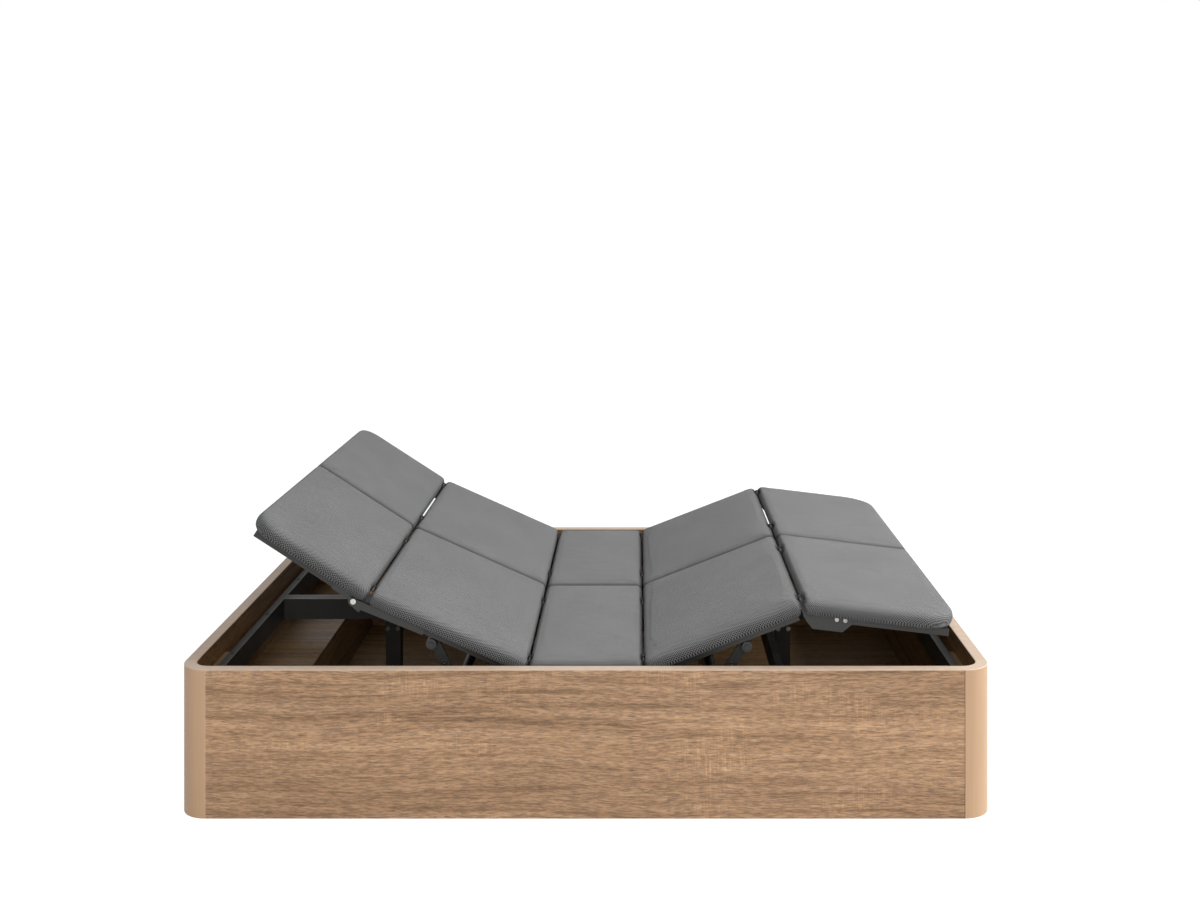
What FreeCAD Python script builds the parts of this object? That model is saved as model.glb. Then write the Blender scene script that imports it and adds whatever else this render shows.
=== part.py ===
"""Storage bed base: an electric five-section bed platform standing inside an oak box.

Sizes are in millimetres.  The origin is on the ground under the middle of the box, X runs from
the head end to the foot end, Y from the front to the rear and Z up.  The platform is drawn flat
and then folded to its stored pose: back and head raised, knees raised, feet sloping down.
"""
import FreeCAD, Part
import math
import os

# Box
box_length = 1990.0
box_width = 1440.0
box_height = 362.0
panel_thickness = 30.0
corner_radius = 70.0
edge_round = 2.0

# Box floor and the ledge at the head end
floor_thickness = 12.0
bearer_height = 18.0
bearer_width = 60.0
lining_clearance = 1.0
board_joint = 1.0
ledge_depth = 175.0
ledge_height = 160.0
ledge_thickness = 16.0

# Steel chassis
chassis_height = 308.0
rail_height = 60.0
rail_width = 20.0
rail_wall = 2.0
chassis_wall_gap = 13.0
packer_length = 100.0
packer_station = 475.0
beam_gap = 4.0
beam_offset = 71.5
seat_cross_rail_inset = 45.0
foot_cross_rail_x = 503.0
beam_leg_ledge_gap = 185.0
leg_plate_margin = 18.0
leg_plate_thickness = 4.0
leg_bracket_drop = 54.0
leg_bolt_radius = 6.5
leg_bolt_head = 5.0
leg_bolt_pitch = 30.0

# Upholstered platform, lengths along the five sections from hinge to hinge
platform_margin = 52.0
head_length = 344.0
back_length = 430.0
seat_length = 285.5
thigh_length = 421.0
leg_length = 395.5
pad_thickness = 44.0
pad_seam = 2.0
pad_edge_round = 14.0
pad_corner = 16.0
head_corner = 66.0
foot_corner = 100.0
hinge_gap = 1.5
knee_gap = 3.0
knee_relief = 11.5
notch_clearance = 1.5
board_thickness = 12.0
board_inset = 18.0
pad_height_shares = (0.0, 0.12, 0.3, 0.5, 0.6, 0.68, 0.8, 0.89, 0.95, 0.985, 1.0)
pad_inset_shares = (0.7, 0.32, 0.06, 0.0, 0.02, 0.1, 0.32, 0.58, 1.0, 1.7, 4.3)
pad_corner_floor_share = 0.3

# Stored pose, in degrees
back_angle = 24.0
head_angle = 8.9
thigh_angle = 21.1
leg_angle = 27.9

# Section frames and hinges
frame_rail_width = 30.0
frame_rail_height = 18.0
rest_clearance = 1.0
outer_rail_inset = 100.0
inner_station = 140.0
rail_setback = 20.0
cross_tube_width = 30.0
cross_tube_setback = 65.0
hinge_rise = 27.0
lug_thickness = 6.0
lug_radius = 5.0
lug_reach = 60.0
lug_clearance = 0.5
pin_diameter = 6.0
pin_overhang = 3.0
pin_clearance = 0.05

# Ratchet fitting between head and back
stop_pin_along = 31.2
stop_pin_below = 9.1
stop_pin_radius = 4.0
stop_pin_cap_radius = 7.0
stop_pin_cap = 3.0
ratchet_plate_thickness = 4.0
ratchet_plate_length = 160.0
ratchet_plate_tip = 14.0
ratchet_plate_end = 13.0
ratchet_top_clearance = 2.0
ratchet_arm_reach = 70.0
ratchet_arm_half_width = 10.0
ratchet_arm_end_angle = 12.0
ratchet_arm_root_angle = 40.0
ratchet_travel_angle = 30.0
slot_clearance = 0.4

# Knee fittings
knee_rise = 26.0
knee_lean = 15.0
knee_notch_depth = 18.0
knee_plate_reach = 130.0
knee_plate_drop = 20.0
leg_cross_tube_along = 270.0

# Lift shafts with their levers
shaft_radius = 12.5
shaft_wall = 2.5
shaft_drop = 38.0
shaft_end_clearance = 5.0
bush_wall = 3.0
bush_overhang = 2.0
back_shaft_offset = 180.0
back_lever_length = 142.0
back_lever_angle = 62.8
thigh_shaft_offset = 178.0
thigh_lever_length = 144.0
thigh_lever_angle = 56.15
back_crank_lead = 7.4
thigh_crank_lead = 10.1
lever_width = 26.0
lever_thickness = 6.0
lever_inset = 4.0
lever_boss_radius = 20.0
shoe_radius = 13.0
shoe_bolt_radius = 6.0
shoe_bolt_head = 4.0
crank_radius = 55.0
crank_plate = 5.0
roller_radius = 11.0
roller_width = 23.0
roller_clearance = 0.5

# Linear drives under the seat
drive_station_share = 0.355
drive_tube_radius = 17.0
drive_tube_front = 95.0
drive_tube_length = 295.0
drive_axis_drop = 41.0
rod_radius = 8.0
rod_clearance = 0.3
rod_length = 190.0
pusher_thickness = 20.0
pusher_half_width = 10.0
pusher_below = 26.0
pusher_above = 22.0
push_gap = 2.0
gearbox_length = 110.0
gearbox_width = 70.0
gearbox_height = 80.0
gearbox_round = 10.0
motor_radius = 29.0
motor_length = 115.0
motor_round = 8.0
saddle_half_width = 25.0
saddle_wall = 4.0
control_length = 200.0
control_width = 110.0
control_height = 45.0
control_round = 8.0
control_clearance = 15.0
inlet_width = 28.0
inlet_height = 20.0
inlet_depth = 12.0

# Leg links
link_foot_reach = 17.0
link_foot_drop = 8.0
link_head_along = 240.8
link_head_below = 40.0
link_width = 22.0
link_thickness = 5.0
link_gap = 2.0
link_head_play = 3.4
link_washer_radius = 9.0
link_washer = 2.5

# Length by which cutting shapes pass the material
overrun = 5.0

AXIS_X = FreeCAD.Vector(1, 0, 0)
AXIS_Y = FreeCAD.Vector(0, 1, 0)
AXIS_Z = FreeCAD.Vector(0, 0, 1)

# Places worked out from the sizes above
inner_x = box_length / 2 - panel_thickness
inner_y = box_width / 2 - panel_thickness
corner_x = box_length / 2 - corner_radius
corner_y = box_width / 2 - corner_radius
floor_top = bearer_height + floor_thickness
rail_under = chassis_height - rail_height
chassis_x = inner_x - chassis_wall_gap
chassis_y = inner_y - chassis_wall_gap
side_rail_y = chassis_y - rail_width
end_rail_x = chassis_x - rail_width
beam_width = 2 * rail_width + beam_gap
beam_front = beam_offset - beam_width / 2
beam_rear = beam_offset + beam_width / 2
pad_under = chassis_height + frame_rail_height
moving_under = chassis_height + rest_clearance
hinge_z = pad_under + hinge_rise
knee_z = pad_under + knee_rise
back_axis_x = -seat_length / 2
thigh_axis_x = seat_length / 2
head_axis_x = back_axis_x - back_length
knee_axis_x = thigh_axis_x + thigh_length
beam_leg_head_x = ledge_depth + beam_leg_ledge_gap - inner_x
beam_leg_foot_x = knee_axis_x
platform_width = box_width - 2 * platform_margin
outer_station = box_width / 2 - outer_rail_inset
stations = (-outer_station, -inner_station, inner_station, outer_station)
rail_face = frame_rail_width / 2
pin_radius = pin_diameter / 2
link_foot_x = foot_cross_rail_x + link_foot_reach
link_foot_z = chassis_height - link_foot_drop
seat_rail_near = thigh_axis_x - seat_cross_rail_inset - rail_width
shaft_height = chassis_height - shaft_drop
drive_z = shaft_height - drive_axis_drop
drive_station = drive_station_share * outer_station
motor_end = drive_station + gearbox_width / 2 + motor_length
control_station = motor_end + control_clearance + control_width / 2
back_shaft_x = back_axis_x - back_shaft_offset
thigh_shaft_x = thigh_axis_x + thigh_shaft_offset
lever_face = outer_station - rail_face - lever_inset


def vec(x, y, z):
    """Point in the part's frame."""
    return FreeCAD.Vector(x, y, z)


def block(x0, x1, y0, y1, z0, z1):
    """Box between two corners."""
    return Part.makeBox(x1 - x0, y1 - y0, z1 - z0, vec(x0, y0, z0))


def rod_x(x0, x1, y, z, radius):
    """Cylinder along X."""
    return Part.makeCylinder(radius, x1 - x0, vec(x0, y, z), AXIS_X)


def rod_y(x, z, y0, y1, radius):
    """Cylinder along Y."""
    return Part.makeCylinder(radius, y1 - y0, vec(x, y0, z), AXIS_Y)


def plate_xz(points, y0, y1):
    """Plate between y0 and y1 whose outline is given in X and Z."""
    corners = [vec(x, y0, z) for x, z in points]
    outline = Part.makePolygon(corners + corners[:1])
    return Part.Face(outline).extrude(vec(0, y1 - y0, 0))


def capsule_xz(x0, z0, x1, z1, radius, y0, y1):
    """Flat bar with round ends between two points in X and Z."""
    run = math.hypot(x1 - x0, z1 - z0)
    side_x = -(z1 - z0) / run * radius
    side_z = (x1 - x0) / run * radius
    corners = [(x0 + side_x, z0 + side_z), (x1 + side_x, z1 + side_z)]
    corners += [(x1 - side_x, z1 - side_z), (x0 - side_x, z0 - side_z)]
    ends = [rod_y(x0, z0, y0, y1, radius), rod_y(x1, z1, y0, y1, radius)]
    return join([plate_xz(corners, y0, y1)] + ends)


def join(shapes):
    """One solid from touching or overlapping shapes."""
    return shapes[0].multiFuse(shapes[1:]).removeSplitter()


def tube_x(x0, x1, y0, y1, z0, z1):
    """Rectangular tube along X, open at both ends."""
    bore = block(x0 - overrun, x1 + overrun, y0 + rail_wall, y1 - rail_wall, z0 + rail_wall, z1 - rail_wall)
    return block(x0, x1, y0, y1, z0, z1).cut(bore)


def tube_y(x0, x1, y0, y1, z0, z1):
    """Rectangular tube along Y, open at both ends."""
    bore = block(x0 + rail_wall, x1 - rail_wall, y0 - overrun, y1 + overrun, z0 + rail_wall, z1 - rail_wall)
    return block(x0, x1, y0, y1, z0, z1).cut(bore)


def rounded_wire(x0, x1, y0, y1, radii, z):
    """Rectangle with four round corners, radii from (x0, y0) round to (x0, y1)."""
    spots = [(x0, y0, 1, 1), (x1, y0, -1, 1), (x1, y1, -1, -1), (x0, y1, 1, -1)]
    half = math.sqrt(0.5)
    arcs = []
    for index, (x, y, sx, sy) in enumerate(spots):
        r = radii[index]
        start = vec(x, y + sy * r, z)
        end = vec(x + sx * r, y, z)
        middle = vec(x + sx * r * (1 - half), y + sy * r * (1 - half), z)
        if index in (1, 3):
            start, end = end, start
        arcs.append((start, middle, end))
    edges = []
    for index, (start, middle, end) in enumerate(arcs):
        edges.append(Part.Arc(start, middle, end).toShape())
        edges.append(Part.LineSegment(end, arcs[(index + 1) % len(arcs)][0]).toShape())
    return Part.Wire(edges)


def rounded_block(x0, x1, y0, y1, radii, z0, z1):
    """Flat block with four round corners."""
    return Part.Face(rounded_wire(x0, x1, y0, y1, radii, z0)).extrude(vec(0, 0, z1 - z0))


def pad(x0, x1, y0, y1, radii):
    """Upholstered pad: drawn-in sides, soft edge and a low crown, with a pocket for its board."""
    sections = []
    for height_share, inset_share in zip(pad_height_shares, pad_inset_shares):
        inset = inset_share * pad_edge_round
        corners = [max(r - inset, r * pad_corner_floor_share) for r in radii]
        z = pad_under + height_share * pad_thickness
        sections.append(rounded_wire(x0 + inset, x1 - inset, y0 + inset, y1 - inset, corners, z))
    return Part.makeLoft(sections, True, True).cut(board(x0, x1, y0, y1, radii))


def board(x0, x1, y0, y1, radii):
    """Board let into the underside of a pad."""
    corners = [max(r - board_inset, r * pad_corner_floor_share) for r in radii]
    edges = (x0 + board_inset, x1 - board_inset, y0 + board_inset, y1 - board_inset)
    return rounded_block(*edges, corners, pad_under, pad_under + board_thickness)


def section_pads(x0, x1, outer_radii, reliefs):
    """Front and rear pad of a section and their boards; outer_radii are at x0 and at x1."""
    r0, r1 = outer_radii
    y0 = pad_seam / 2
    y1 = platform_width / 2
    front = (x0, x1, -y1, -y0, (r0, r1, pad_corner, pad_corner))
    rear = (x0, x1, y0, y1, (pad_corner, pad_corner, r1, r0))
    return pad(*front).cut(reliefs), pad(*rear).cut(reliefs), Part.makeCompound([board(*front), board(*rear)])


def notches(x, z, half):
    """Cutters in the pad ends round the lugs of one hinge line."""
    side = rail_face + lug_thickness + pin_overhang + notch_clearance
    top = z + lug_radius + notch_clearance
    return [block(x - half, x + half, s - side, s + side, pad_under - overrun, top) for s in stations]


def hinge_notches(x):
    """Notches at a hinge that folds up."""
    return notches(x, hinge_z, lug_radius + notch_clearance)


def knee_reliefs():
    """Notches at the knee and the wedge between the pads that closes as the knee rises."""
    near = knee_gap / 2
    far = near + knee_relief * (1 + overrun / knee_rise)
    low = pad_under - overrun
    outline = [(knee_axis_x - near, knee_z), (knee_axis_x + near, knee_z), (knee_axis_x + far, low)]
    outline.append((knee_axis_x - far, low))
    wedge = plate_xz(outline, -box_width, box_width)
    return notches(knee_axis_x, knee_z, knee_notch_depth) + [wedge]


def turned(shape, x, z, degrees):
    """Copy of a shape turned about an axis along Y; positive lifts the side towards the head."""
    copy = shape.copy()
    copy.rotate(vec(x, 0, z), AXIS_Y, degrees)
    return copy


def fold_back(shape):
    """Stored place of a piece of the back section."""
    return turned(shape, back_axis_x, hinge_z, back_angle)


def fold_head(shape):
    """Stored place of a piece of the head section."""
    return fold_back(turned(shape, head_axis_x, hinge_z, head_angle))


def fold_thigh(shape):
    """Stored place of a piece of the thigh section."""
    return turned(shape, thigh_axis_x, hinge_z, -thigh_angle)


def fold_leg(shape):
    """Stored place of a piece of the leg section."""
    return fold_thigh(turned(shape, knee_axis_x, knee_z, leg_angle))


def long_panel(length):
    """Panel along X with eased top edges, its middle at the origin."""
    half = panel_thickness / 2
    low = box_height - edge_round
    ease = edge_round * (1 - math.sqrt(0.5))
    front = -half + edge_round
    rear = half - edge_round
    edges = [
        Part.LineSegment(vec(0, -half, 0), vec(0, half, 0)),
        Part.LineSegment(vec(0, half, 0), vec(0, half, low)),
        Part.Arc(vec(0, half, low), vec(0, half - ease, box_height - ease), vec(0, rear, box_height)),
        Part.LineSegment(vec(0, rear, box_height), vec(0, front, box_height)),
        Part.Arc(vec(0, front, box_height), vec(0, -half + ease, box_height - ease), vec(0, -half, low)),
        Part.LineSegment(vec(0, -half, low), vec(0, -half, 0)),
    ]
    outline = Part.Wire([edge.toShape() for edge in edges])
    panel = Part.Face(outline).extrude(vec(length, 0, 0))
    panel.translate(vec(-length / 2, 0, 0))
    return panel


def corner_post(side_x, side_y):
    """Rounded post that closes one corner of the box."""
    centre = vec(side_x * corner_x, side_y * corner_y, 0)
    ring = Part.makeCylinder(corner_radius, box_height, centre)
    ring = ring.cut(Part.makeCylinder(corner_radius - panel_thickness, box_height, centre))
    x0, x1 = sorted((centre.x, centre.x + side_x * corner_radius))
    y0, y1 = sorted((centre.y, centre.y + side_y * corner_radius))
    post = ring.common(block(x0, x1, y0, y1, 0, box_height))
    rims = [edge for edge in post.Edges if edge.BoundBox.ZMin > box_height / 2 and edge.BoundBox.XLength
            and edge.BoundBox.YLength]
    return post.makeFillet(edge_round, rims)


def lining(x0, x1, z0, z1):
    """Slab that fills the inside of the box between x0 and x1, round at the posts."""
    reach_x = inner_x - lining_clearance
    reach_y = inner_y - lining_clearance
    slabs = [block(-corner_x, corner_x, -reach_y, reach_y, z0, z1)]
    slabs.append(block(-reach_x, reach_x, -corner_y, corner_y, z0, z1))
    for x in (-corner_x, corner_x):
        for y in (-corner_y, corner_y):
            radius = corner_radius - panel_thickness - lining_clearance
            slabs.append(Part.makeCylinder(radius, z1 - z0, vec(x, y, z0)))
    return join(slabs).common(block(x0, x1, -box_width, box_width, z0, z1))


def box_nodes():
    """Panels, posts, floor and ledge of the storage box."""
    front = long_panel(2 * corner_x)
    rear = front.copy()
    front.translate(vec(0, panel_thickness / 2 - box_width / 2, 0))
    rear.translate(vec(0, box_width / 2 - panel_thickness / 2, 0))
    head = long_panel(2 * corner_y)
    head.rotate(vec(0, 0, 0), AXIS_Z, 90)
    foot = head.copy()
    head.translate(vec(panel_thickness / 2 - box_length / 2, 0, 0))
    foot.translate(vec(box_length / 2 - panel_thickness / 2, 0, 0))
    nodes = {"front_panel": front, "rear_panel": rear, "head_panel": head, "foot_panel": foot}
    for end, side_x in (("head", -1), ("foot", 1)):
        for side, side_y in (("front", -1), ("rear", 1)):
            nodes["corner_post_%s_%s" % (side, end)] = corner_post(side_x, side_y)
    nodes["floor_boards"] = Part.makeCompound([
        lining(-inner_x, -board_joint / 2, bearer_height, floor_top),
        lining(board_joint / 2, inner_x, bearer_height, floor_top)])
    nodes["floor_bearers"] = Part.makeCompound([floor_bearer(x) for x in (beam_leg_head_x, 0, beam_leg_foot_x)])
    riser_x = ledge_depth - inner_x
    ledge_top = floor_top + ledge_height
    nodes["ledge_top"] = lining(-inner_x, riser_x, ledge_top - ledge_thickness, ledge_top)
    nodes["ledge_riser"] = lining(riser_x - ledge_thickness, riser_x, floor_top, ledge_top - ledge_thickness)
    return nodes


def floor_bearer(x):
    """Batten between the ground and the floor."""
    half = bearer_width / 2
    reach = inner_y - lining_clearance
    return block(x - half, x + half, -reach, reach, 0, bearer_height)


def shaft_hole(x, y0, y1):
    """Cutter for a shaft's bush through a rail between y0 and y1."""
    return rod_y(x, shaft_height, y0 - overrun, y1 + overrun, shaft_radius + bush_wall)


def drilled(rail, y0, y1):
    """Rail along X with the holes of both lift shafts."""
    for x in (back_shaft_x, thigh_shaft_x):
        rail = rail.cut(shaft_hole(x, y0, y1))
    return rail


def cross_rail(x0):
    """Two halves of a cross rail, from the side rails to the twin beam."""
    x1 = x0 + rail_width
    front = tube_y(x0, x1, -side_rail_y, beam_front, rail_under, chassis_height)
    rear = tube_y(x0, x1, beam_rear, side_rail_y, rail_under, chassis_height)
    return [front, rear]


def packer(x, y, along_x):
    """Packing piece between a chassis rail and the box; x and y are the middle of its inner face."""
    half = packer_length / 2
    if along_x:
        y0, y1 = sorted((y, y + math.copysign(chassis_wall_gap, y)))
        return block(x - half, x + half, y0, y1, rail_under, chassis_height)
    x0, x1 = sorted((x, x + math.copysign(chassis_wall_gap, x)))
    return block(x0, x1, y - half, y + half, rail_under, chassis_height)


def beam_leg(x):
    """Square post between the floor and the twin beam, with a plate at each end."""
    half = beam_width / 2
    y0, y1 = beam_front, beam_rear
    low = floor_top + leg_plate_thickness
    high = rail_under - leg_plate_thickness
    bore = block(x - half + rail_wall, x + half - rail_wall, y0 + rail_wall, y1 - rail_wall, low, high)
    post = block(x - half, x + half, y0, y1, low, high).cut(bore)
    wide = half + leg_plate_margin
    foot = block(x - wide, x + wide, y0 - leg_plate_margin, y1 + leg_plate_margin, floor_top, low)
    cap = block(x - wide, x + wide, y0, y1, high, rail_under)
    return join([post, foot, cap])


def leg_bracket(x):
    """Side plate that bolts a post to the twin beam."""
    half = beam_width / 2
    y0 = beam_front - leg_plate_thickness
    return block(x - half, x + half, y0, beam_front, rail_under - leg_bracket_drop, chassis_height)


def leg_bolts(x):
    """Heads of the four bolts in a post's side plate."""
    y1 = beam_front - leg_plate_thickness
    heights = (rail_under - leg_bracket_drop / 2, rail_under + rail_height / 2)
    spots = [(x + side * leg_bolt_pitch / 2, z) for side in (-1, 1) for z in heights]
    return [rod_y(bx, z, y1 - leg_bolt_head, y1, leg_bolt_radius) for bx, z in spots]


def bush(x, y0, y1):
    """Plain bearing of a lift shaft in a rail between y0 and y1."""
    ring = rod_y(x, shaft_height, y0 - bush_overhang, y1 + bush_overhang, shaft_radius + bush_wall)
    return ring.cut(shaft_bore(x, y0, y1))


def shaft_bore(x, y0, y1):
    """Cutter with a running fit round a lift shaft."""
    return rod_y(x, shaft_height, y0 - overrun, y1 + overrun, shaft_radius + pin_clearance)


def chassis_nodes():
    """Steel chassis that carries the platform inside the box."""
    z = (rail_under, chassis_height)
    beams = []
    for y0 in (beam_front, beam_rear - rail_width):
        beams.append(drilled(tube_x(-end_rail_x, end_rail_x, y0, y0 + rail_width, *z), y0, y0 + rail_width))
    sides = []
    for y0 in (-chassis_y, side_rail_y):
        sides.append(drilled(tube_x(-end_rail_x, end_rail_x, y0, y0 + rail_width, *z), y0, y0 + rail_width))
    ends = [tube_y(x0, x0 + rail_width, -chassis_y, chassis_y, *z) for x0 in (-chassis_x, end_rail_x)]
    crosses = cross_rail(-seat_rail_near - rail_width) + cross_rail(seat_rail_near)
    crosses += cross_rail(foot_cross_rail_x - rail_width)
    packers = [packer(x, y, True) for x in (-packer_station, packer_station)
               for y in (-chassis_y, chassis_y)]
    packers += [packer(x, y, False) for x in (-chassis_x, chassis_x)
                for y in (-packer_station, packer_station)]
    legs = (beam_leg_head_x, beam_leg_foot_x)
    spans = ((-chassis_y, -side_rail_y), (beam_front, beam_rear), (side_rail_y, chassis_y))
    bushes = [bush(x, y0, y1) for x in (back_shaft_x, thigh_shaft_x) for y0, y1 in spans]
    lugs = [link_foot_lug(side) for side in (-1, 1)]
    return {
        "chassis_end_rails": Part.makeCompound(ends),
        "chassis_side_rails": Part.makeCompound(sides),
        "chassis_twin_beam": Part.makeCompound(beams),
        "chassis_cross_rails": Part.makeCompound(crosses + lugs),
        "chassis_packers": Part.makeCompound(packers),
        "beam_legs": Part.makeCompound([piece for x in legs for piece in (beam_leg(x), leg_bracket(x))]),
        "beam_leg_bolts": Part.makeCompound([bolt for x in legs for bolt in leg_bolts(x)]),
        "shaft_bushes": Part.makeCompound(bushes),
    }


def face_span(station, outer):
    """Y span of a plate on the outer or inner face of the frame rail at a station."""
    sign = math.copysign(1, station)
    near = abs(station) + rail_face if outer else abs(station) - rail_face
    far = near + lug_thickness if outer else near - lug_thickness
    return sorted((sign * near, sign * far))


def hinge_lug(x, side, station, outer):
    """Lug that rises between two pads to a hinge pin; side is +1 when its rail lies towards the foot."""
    y0, y1 = face_span(station, outer)
    x0, x1 = sorted((x - side * lug_radius, x + side * lug_reach))
    low = block(x0, x1, y0, y1, moving_under, pad_under - lug_clearance)
    neck = block(x - lug_radius, x + lug_radius, y0, y1, moving_under, hinge_z)
    eye = rod_y(x, hinge_z, y0, y1, lug_radius)
    return join([low, neck, eye]).cut(pin_hole(x, hinge_z, y0, y1))


def pin_hole(x, z, y0, y1):
    """Cutter for a hinge pin with its running clearance."""
    return rod_y(x, z, y0 - overrun, y1 + overrun, pin_radius + pin_clearance)


def knee_neck(side, y0, y1):
    """Leaning neck of a knee fitting with its eye; side is -1 on the thigh and +1 on the leg."""
    foot_x = knee_axis_x + side * knee_lean
    return capsule_xz(foot_x, (moving_under + pad_under) / 2, knee_axis_x, knee_z, lug_radius, y0, y1)


def knee_lug(station):
    """Lug of a thigh rail that carries the knee pin."""
    y0, y1 = face_span(station, False)
    top = pad_under - lug_clearance
    strap = block(knee_axis_x - lug_reach, knee_axis_x - knee_lean, y0, y1, moving_under, top)
    return join([strap, knee_neck(-1, y0, y1)]).cut(pin_hole(knee_axis_x, knee_z, y0, y1))


def knee_plate(station):
    """Plate screwed on the side of a leg rail that turns on the knee pin."""
    y0, y1 = face_span(station, True)
    start = knee_axis_x + knee_lean
    end = knee_axis_x + knee_plate_reach
    top = pad_under - lug_clearance
    low = moving_under - knee_plate_drop
    outline = [(start, top), (start, moving_under), (start + knee_plate_drop, low)]
    outline += [(end - knee_plate_drop, low), (end, moving_under), (end, top)]
    plate = join([plate_xz(outline, y0, y1), knee_neck(1, y0, y1)])
    return plate.cut(pin_hole(knee_axis_x, knee_z, y0, y1))


def hinge_pins(x, z):
    """Pins of one hinge line, one at each frame rail."""
    reach = rail_face + lug_thickness + pin_overhang
    return [rod_y(x, z, station - reach, station + reach, pin_radius) for station in stations]


def section_rails(x0, x1, under):
    """Four tubes under the pads of a section, short of its hinge lines."""
    first = x0 + rail_setback
    last = x1 - rail_setback
    return [tube_x(first, last, s - rail_face, s + rail_face, under, pad_under) for s in stations]


def cross_tube(x0):
    """Three lengths of tube that join the four frame rails of a section."""
    spans = [(a + rail_face, b - rail_face) for a, b in zip(stations, stations[1:])]
    return [tube_y(x0, x0 + cross_tube_width, y0, y1, moving_under, pad_under) for y0, y1 in spans]


def seat_nodes():
    """Fixed seat section."""
    frame = section_rails(back_axis_x, thigh_axis_x, chassis_height)
    frame += [hinge_lug(back_axis_x, 1, s, True) for s in stations]
    frame += [hinge_lug(thigh_axis_x, -1, s, True) for s in stations]
    half_gap = hinge_gap / 2
    corners = (pad_corner, pad_corner)
    reliefs = hinge_notches(back_axis_x) + hinge_notches(thigh_axis_x)
    front, rear, boards = section_pads(back_axis_x + half_gap, thigh_axis_x - half_gap, corners, reliefs)
    pins = hinge_pins(back_axis_x, hinge_z) + hinge_pins(thigh_axis_x, hinge_z)
    return {
        "seat_frame": Part.makeCompound(frame),
        "seat_boards": boards,
        "seat_pad_front": front,
        "seat_pad_rear": rear,
        "seat_hinge_pins": Part.makeCompound(pins),
    }


def ratchet_layers(station):
    """Y spans outside a frame rail of the lug layer, the ratchet arm and the ratchet plate."""
    sign = math.copysign(1, station)
    lug_end = abs(station) + rail_face + lug_thickness
    arm_end = lug_end + ratchet_plate_thickness
    edges = (abs(station) + rail_face, lug_end, arm_end, arm_end + ratchet_plate_thickness)
    return [sorted((sign * near, sign * far)) for near, far in zip(edges, edges[1:])]


def ratchet_plate(station):
    """Tapered plate on the back frame that holds the stop pin below the head section, with its spacer."""
    _, (space0, space1), (y0, y1) = ratchet_layers(station)
    x, z = stop_pin_place()
    top = pad_under - ratchet_top_clearance
    tip_x = head_axis_x + ratchet_plate_length
    tip_z = top - ratchet_plate_tip
    run = math.hypot(tip_x - x, tip_z - z)
    bearing = math.atan2(tip_z - z, tip_x - x) - math.acos(ratchet_plate_end / run)
    touch = (x + ratchet_plate_end * math.cos(bearing), z + ratchet_plate_end * math.sin(bearing))
    outline = [(x - ratchet_plate_end, z), (x - ratchet_plate_end, top), (tip_x, top), (tip_x, tip_z)]
    outline += [touch, (x, z)]
    below = block(x - 2 * ratchet_plate_end, x + 2 * ratchet_plate_end, y0, y1, 0, top)
    end = rod_y(x, z, y0, y1, ratchet_plate_end).common(below)
    spacer = block(head_axis_x + rail_setback, head_axis_x + lug_reach, space0, space1, moving_under, top)
    plate = join([plate_xz(outline, y0, y1), end, spacer])
    return plate.cut(rod_y(x, z, y0 - overrun, y1 + overrun, stop_pin_radius))


def stop_pin_place():
    """Stop pin of the ratchet fitting with the platform flat."""
    return head_axis_x - stop_pin_along, pad_under - stop_pin_below


def stop_pin(station):
    """Stop pin that reaches into the ratchet arm's slot, with a round cap outside its plate."""
    _, arm, plate = ratchet_layers(station)
    x, z = stop_pin_place()
    inside = min(arm, key=abs) + math.copysign(lug_clearance, station)
    outside = max(plate, key=abs)
    shank = rod_y(x, z, min(inside, outside), max(inside, outside), stop_pin_radius)
    y0, y1 = sorted((outside, outside + math.copysign(stop_pin_cap, station)))
    return join([shank, rod_y(x, z, y0, y1, stop_pin_cap_radius)])


def sector(radius_in, radius_out, first, last, y0, y1):
    """Part of a ring round the head hinge between two angles from straight down, towards the head."""
    ring = rod_y(head_axis_x, hinge_z, y0, y1, radius_out).cut(rod_y(head_axis_x, hinge_z, y0, y1, radius_in))
    far = 2 * radius_out
    rays = [(head_axis_x - far * math.sin(math.radians(a)), hinge_z - far * math.cos(math.radians(a)))
            for a in (first, last)]
    return ring.common(plate_xz([(head_axis_x, hinge_z)] + rays, y0, y1))


def ratchet_arm(station):
    """Plate on the head frame with the curved slot in which the stop pin runs, on its spacer."""
    (space0, space1), (y0, y1), _ = ratchet_layers(station)
    x, z = stop_pin_place()
    radius = math.hypot(head_axis_x - x, hinge_z - z)
    start = math.degrees(math.atan2(head_axis_x - x, hinge_z - z))
    top = pad_under - lug_clearance
    root = (head_axis_x - rail_setback - ratchet_arm_reach, head_axis_x - rail_setback)
    spacer = block(*root, space0, space1, moving_under, top)
    strap = block(*root, y0, y1, moving_under, top)
    fan = sector(radius - ratchet_arm_half_width, radius + ratchet_arm_half_width,
                 start - ratchet_travel_angle - ratchet_arm_end_angle, start + ratchet_arm_root_angle, y0, y1)
    fan = fan.common(block(head_axis_x - box_length, head_axis_x + box_length, y0, y1, 0, top))
    half = stop_pin_radius + slot_clearance
    slot = sector(radius - half, radius + half, start - ratchet_travel_angle, start, y0, y1)
    end = rod_y(x, z, y0, y1, half)
    ends = [end, turned(end, head_axis_x, hinge_z, -ratchet_travel_angle)]
    return join([spacer, strap, fan]).cut(join([slot] + ends))


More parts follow.
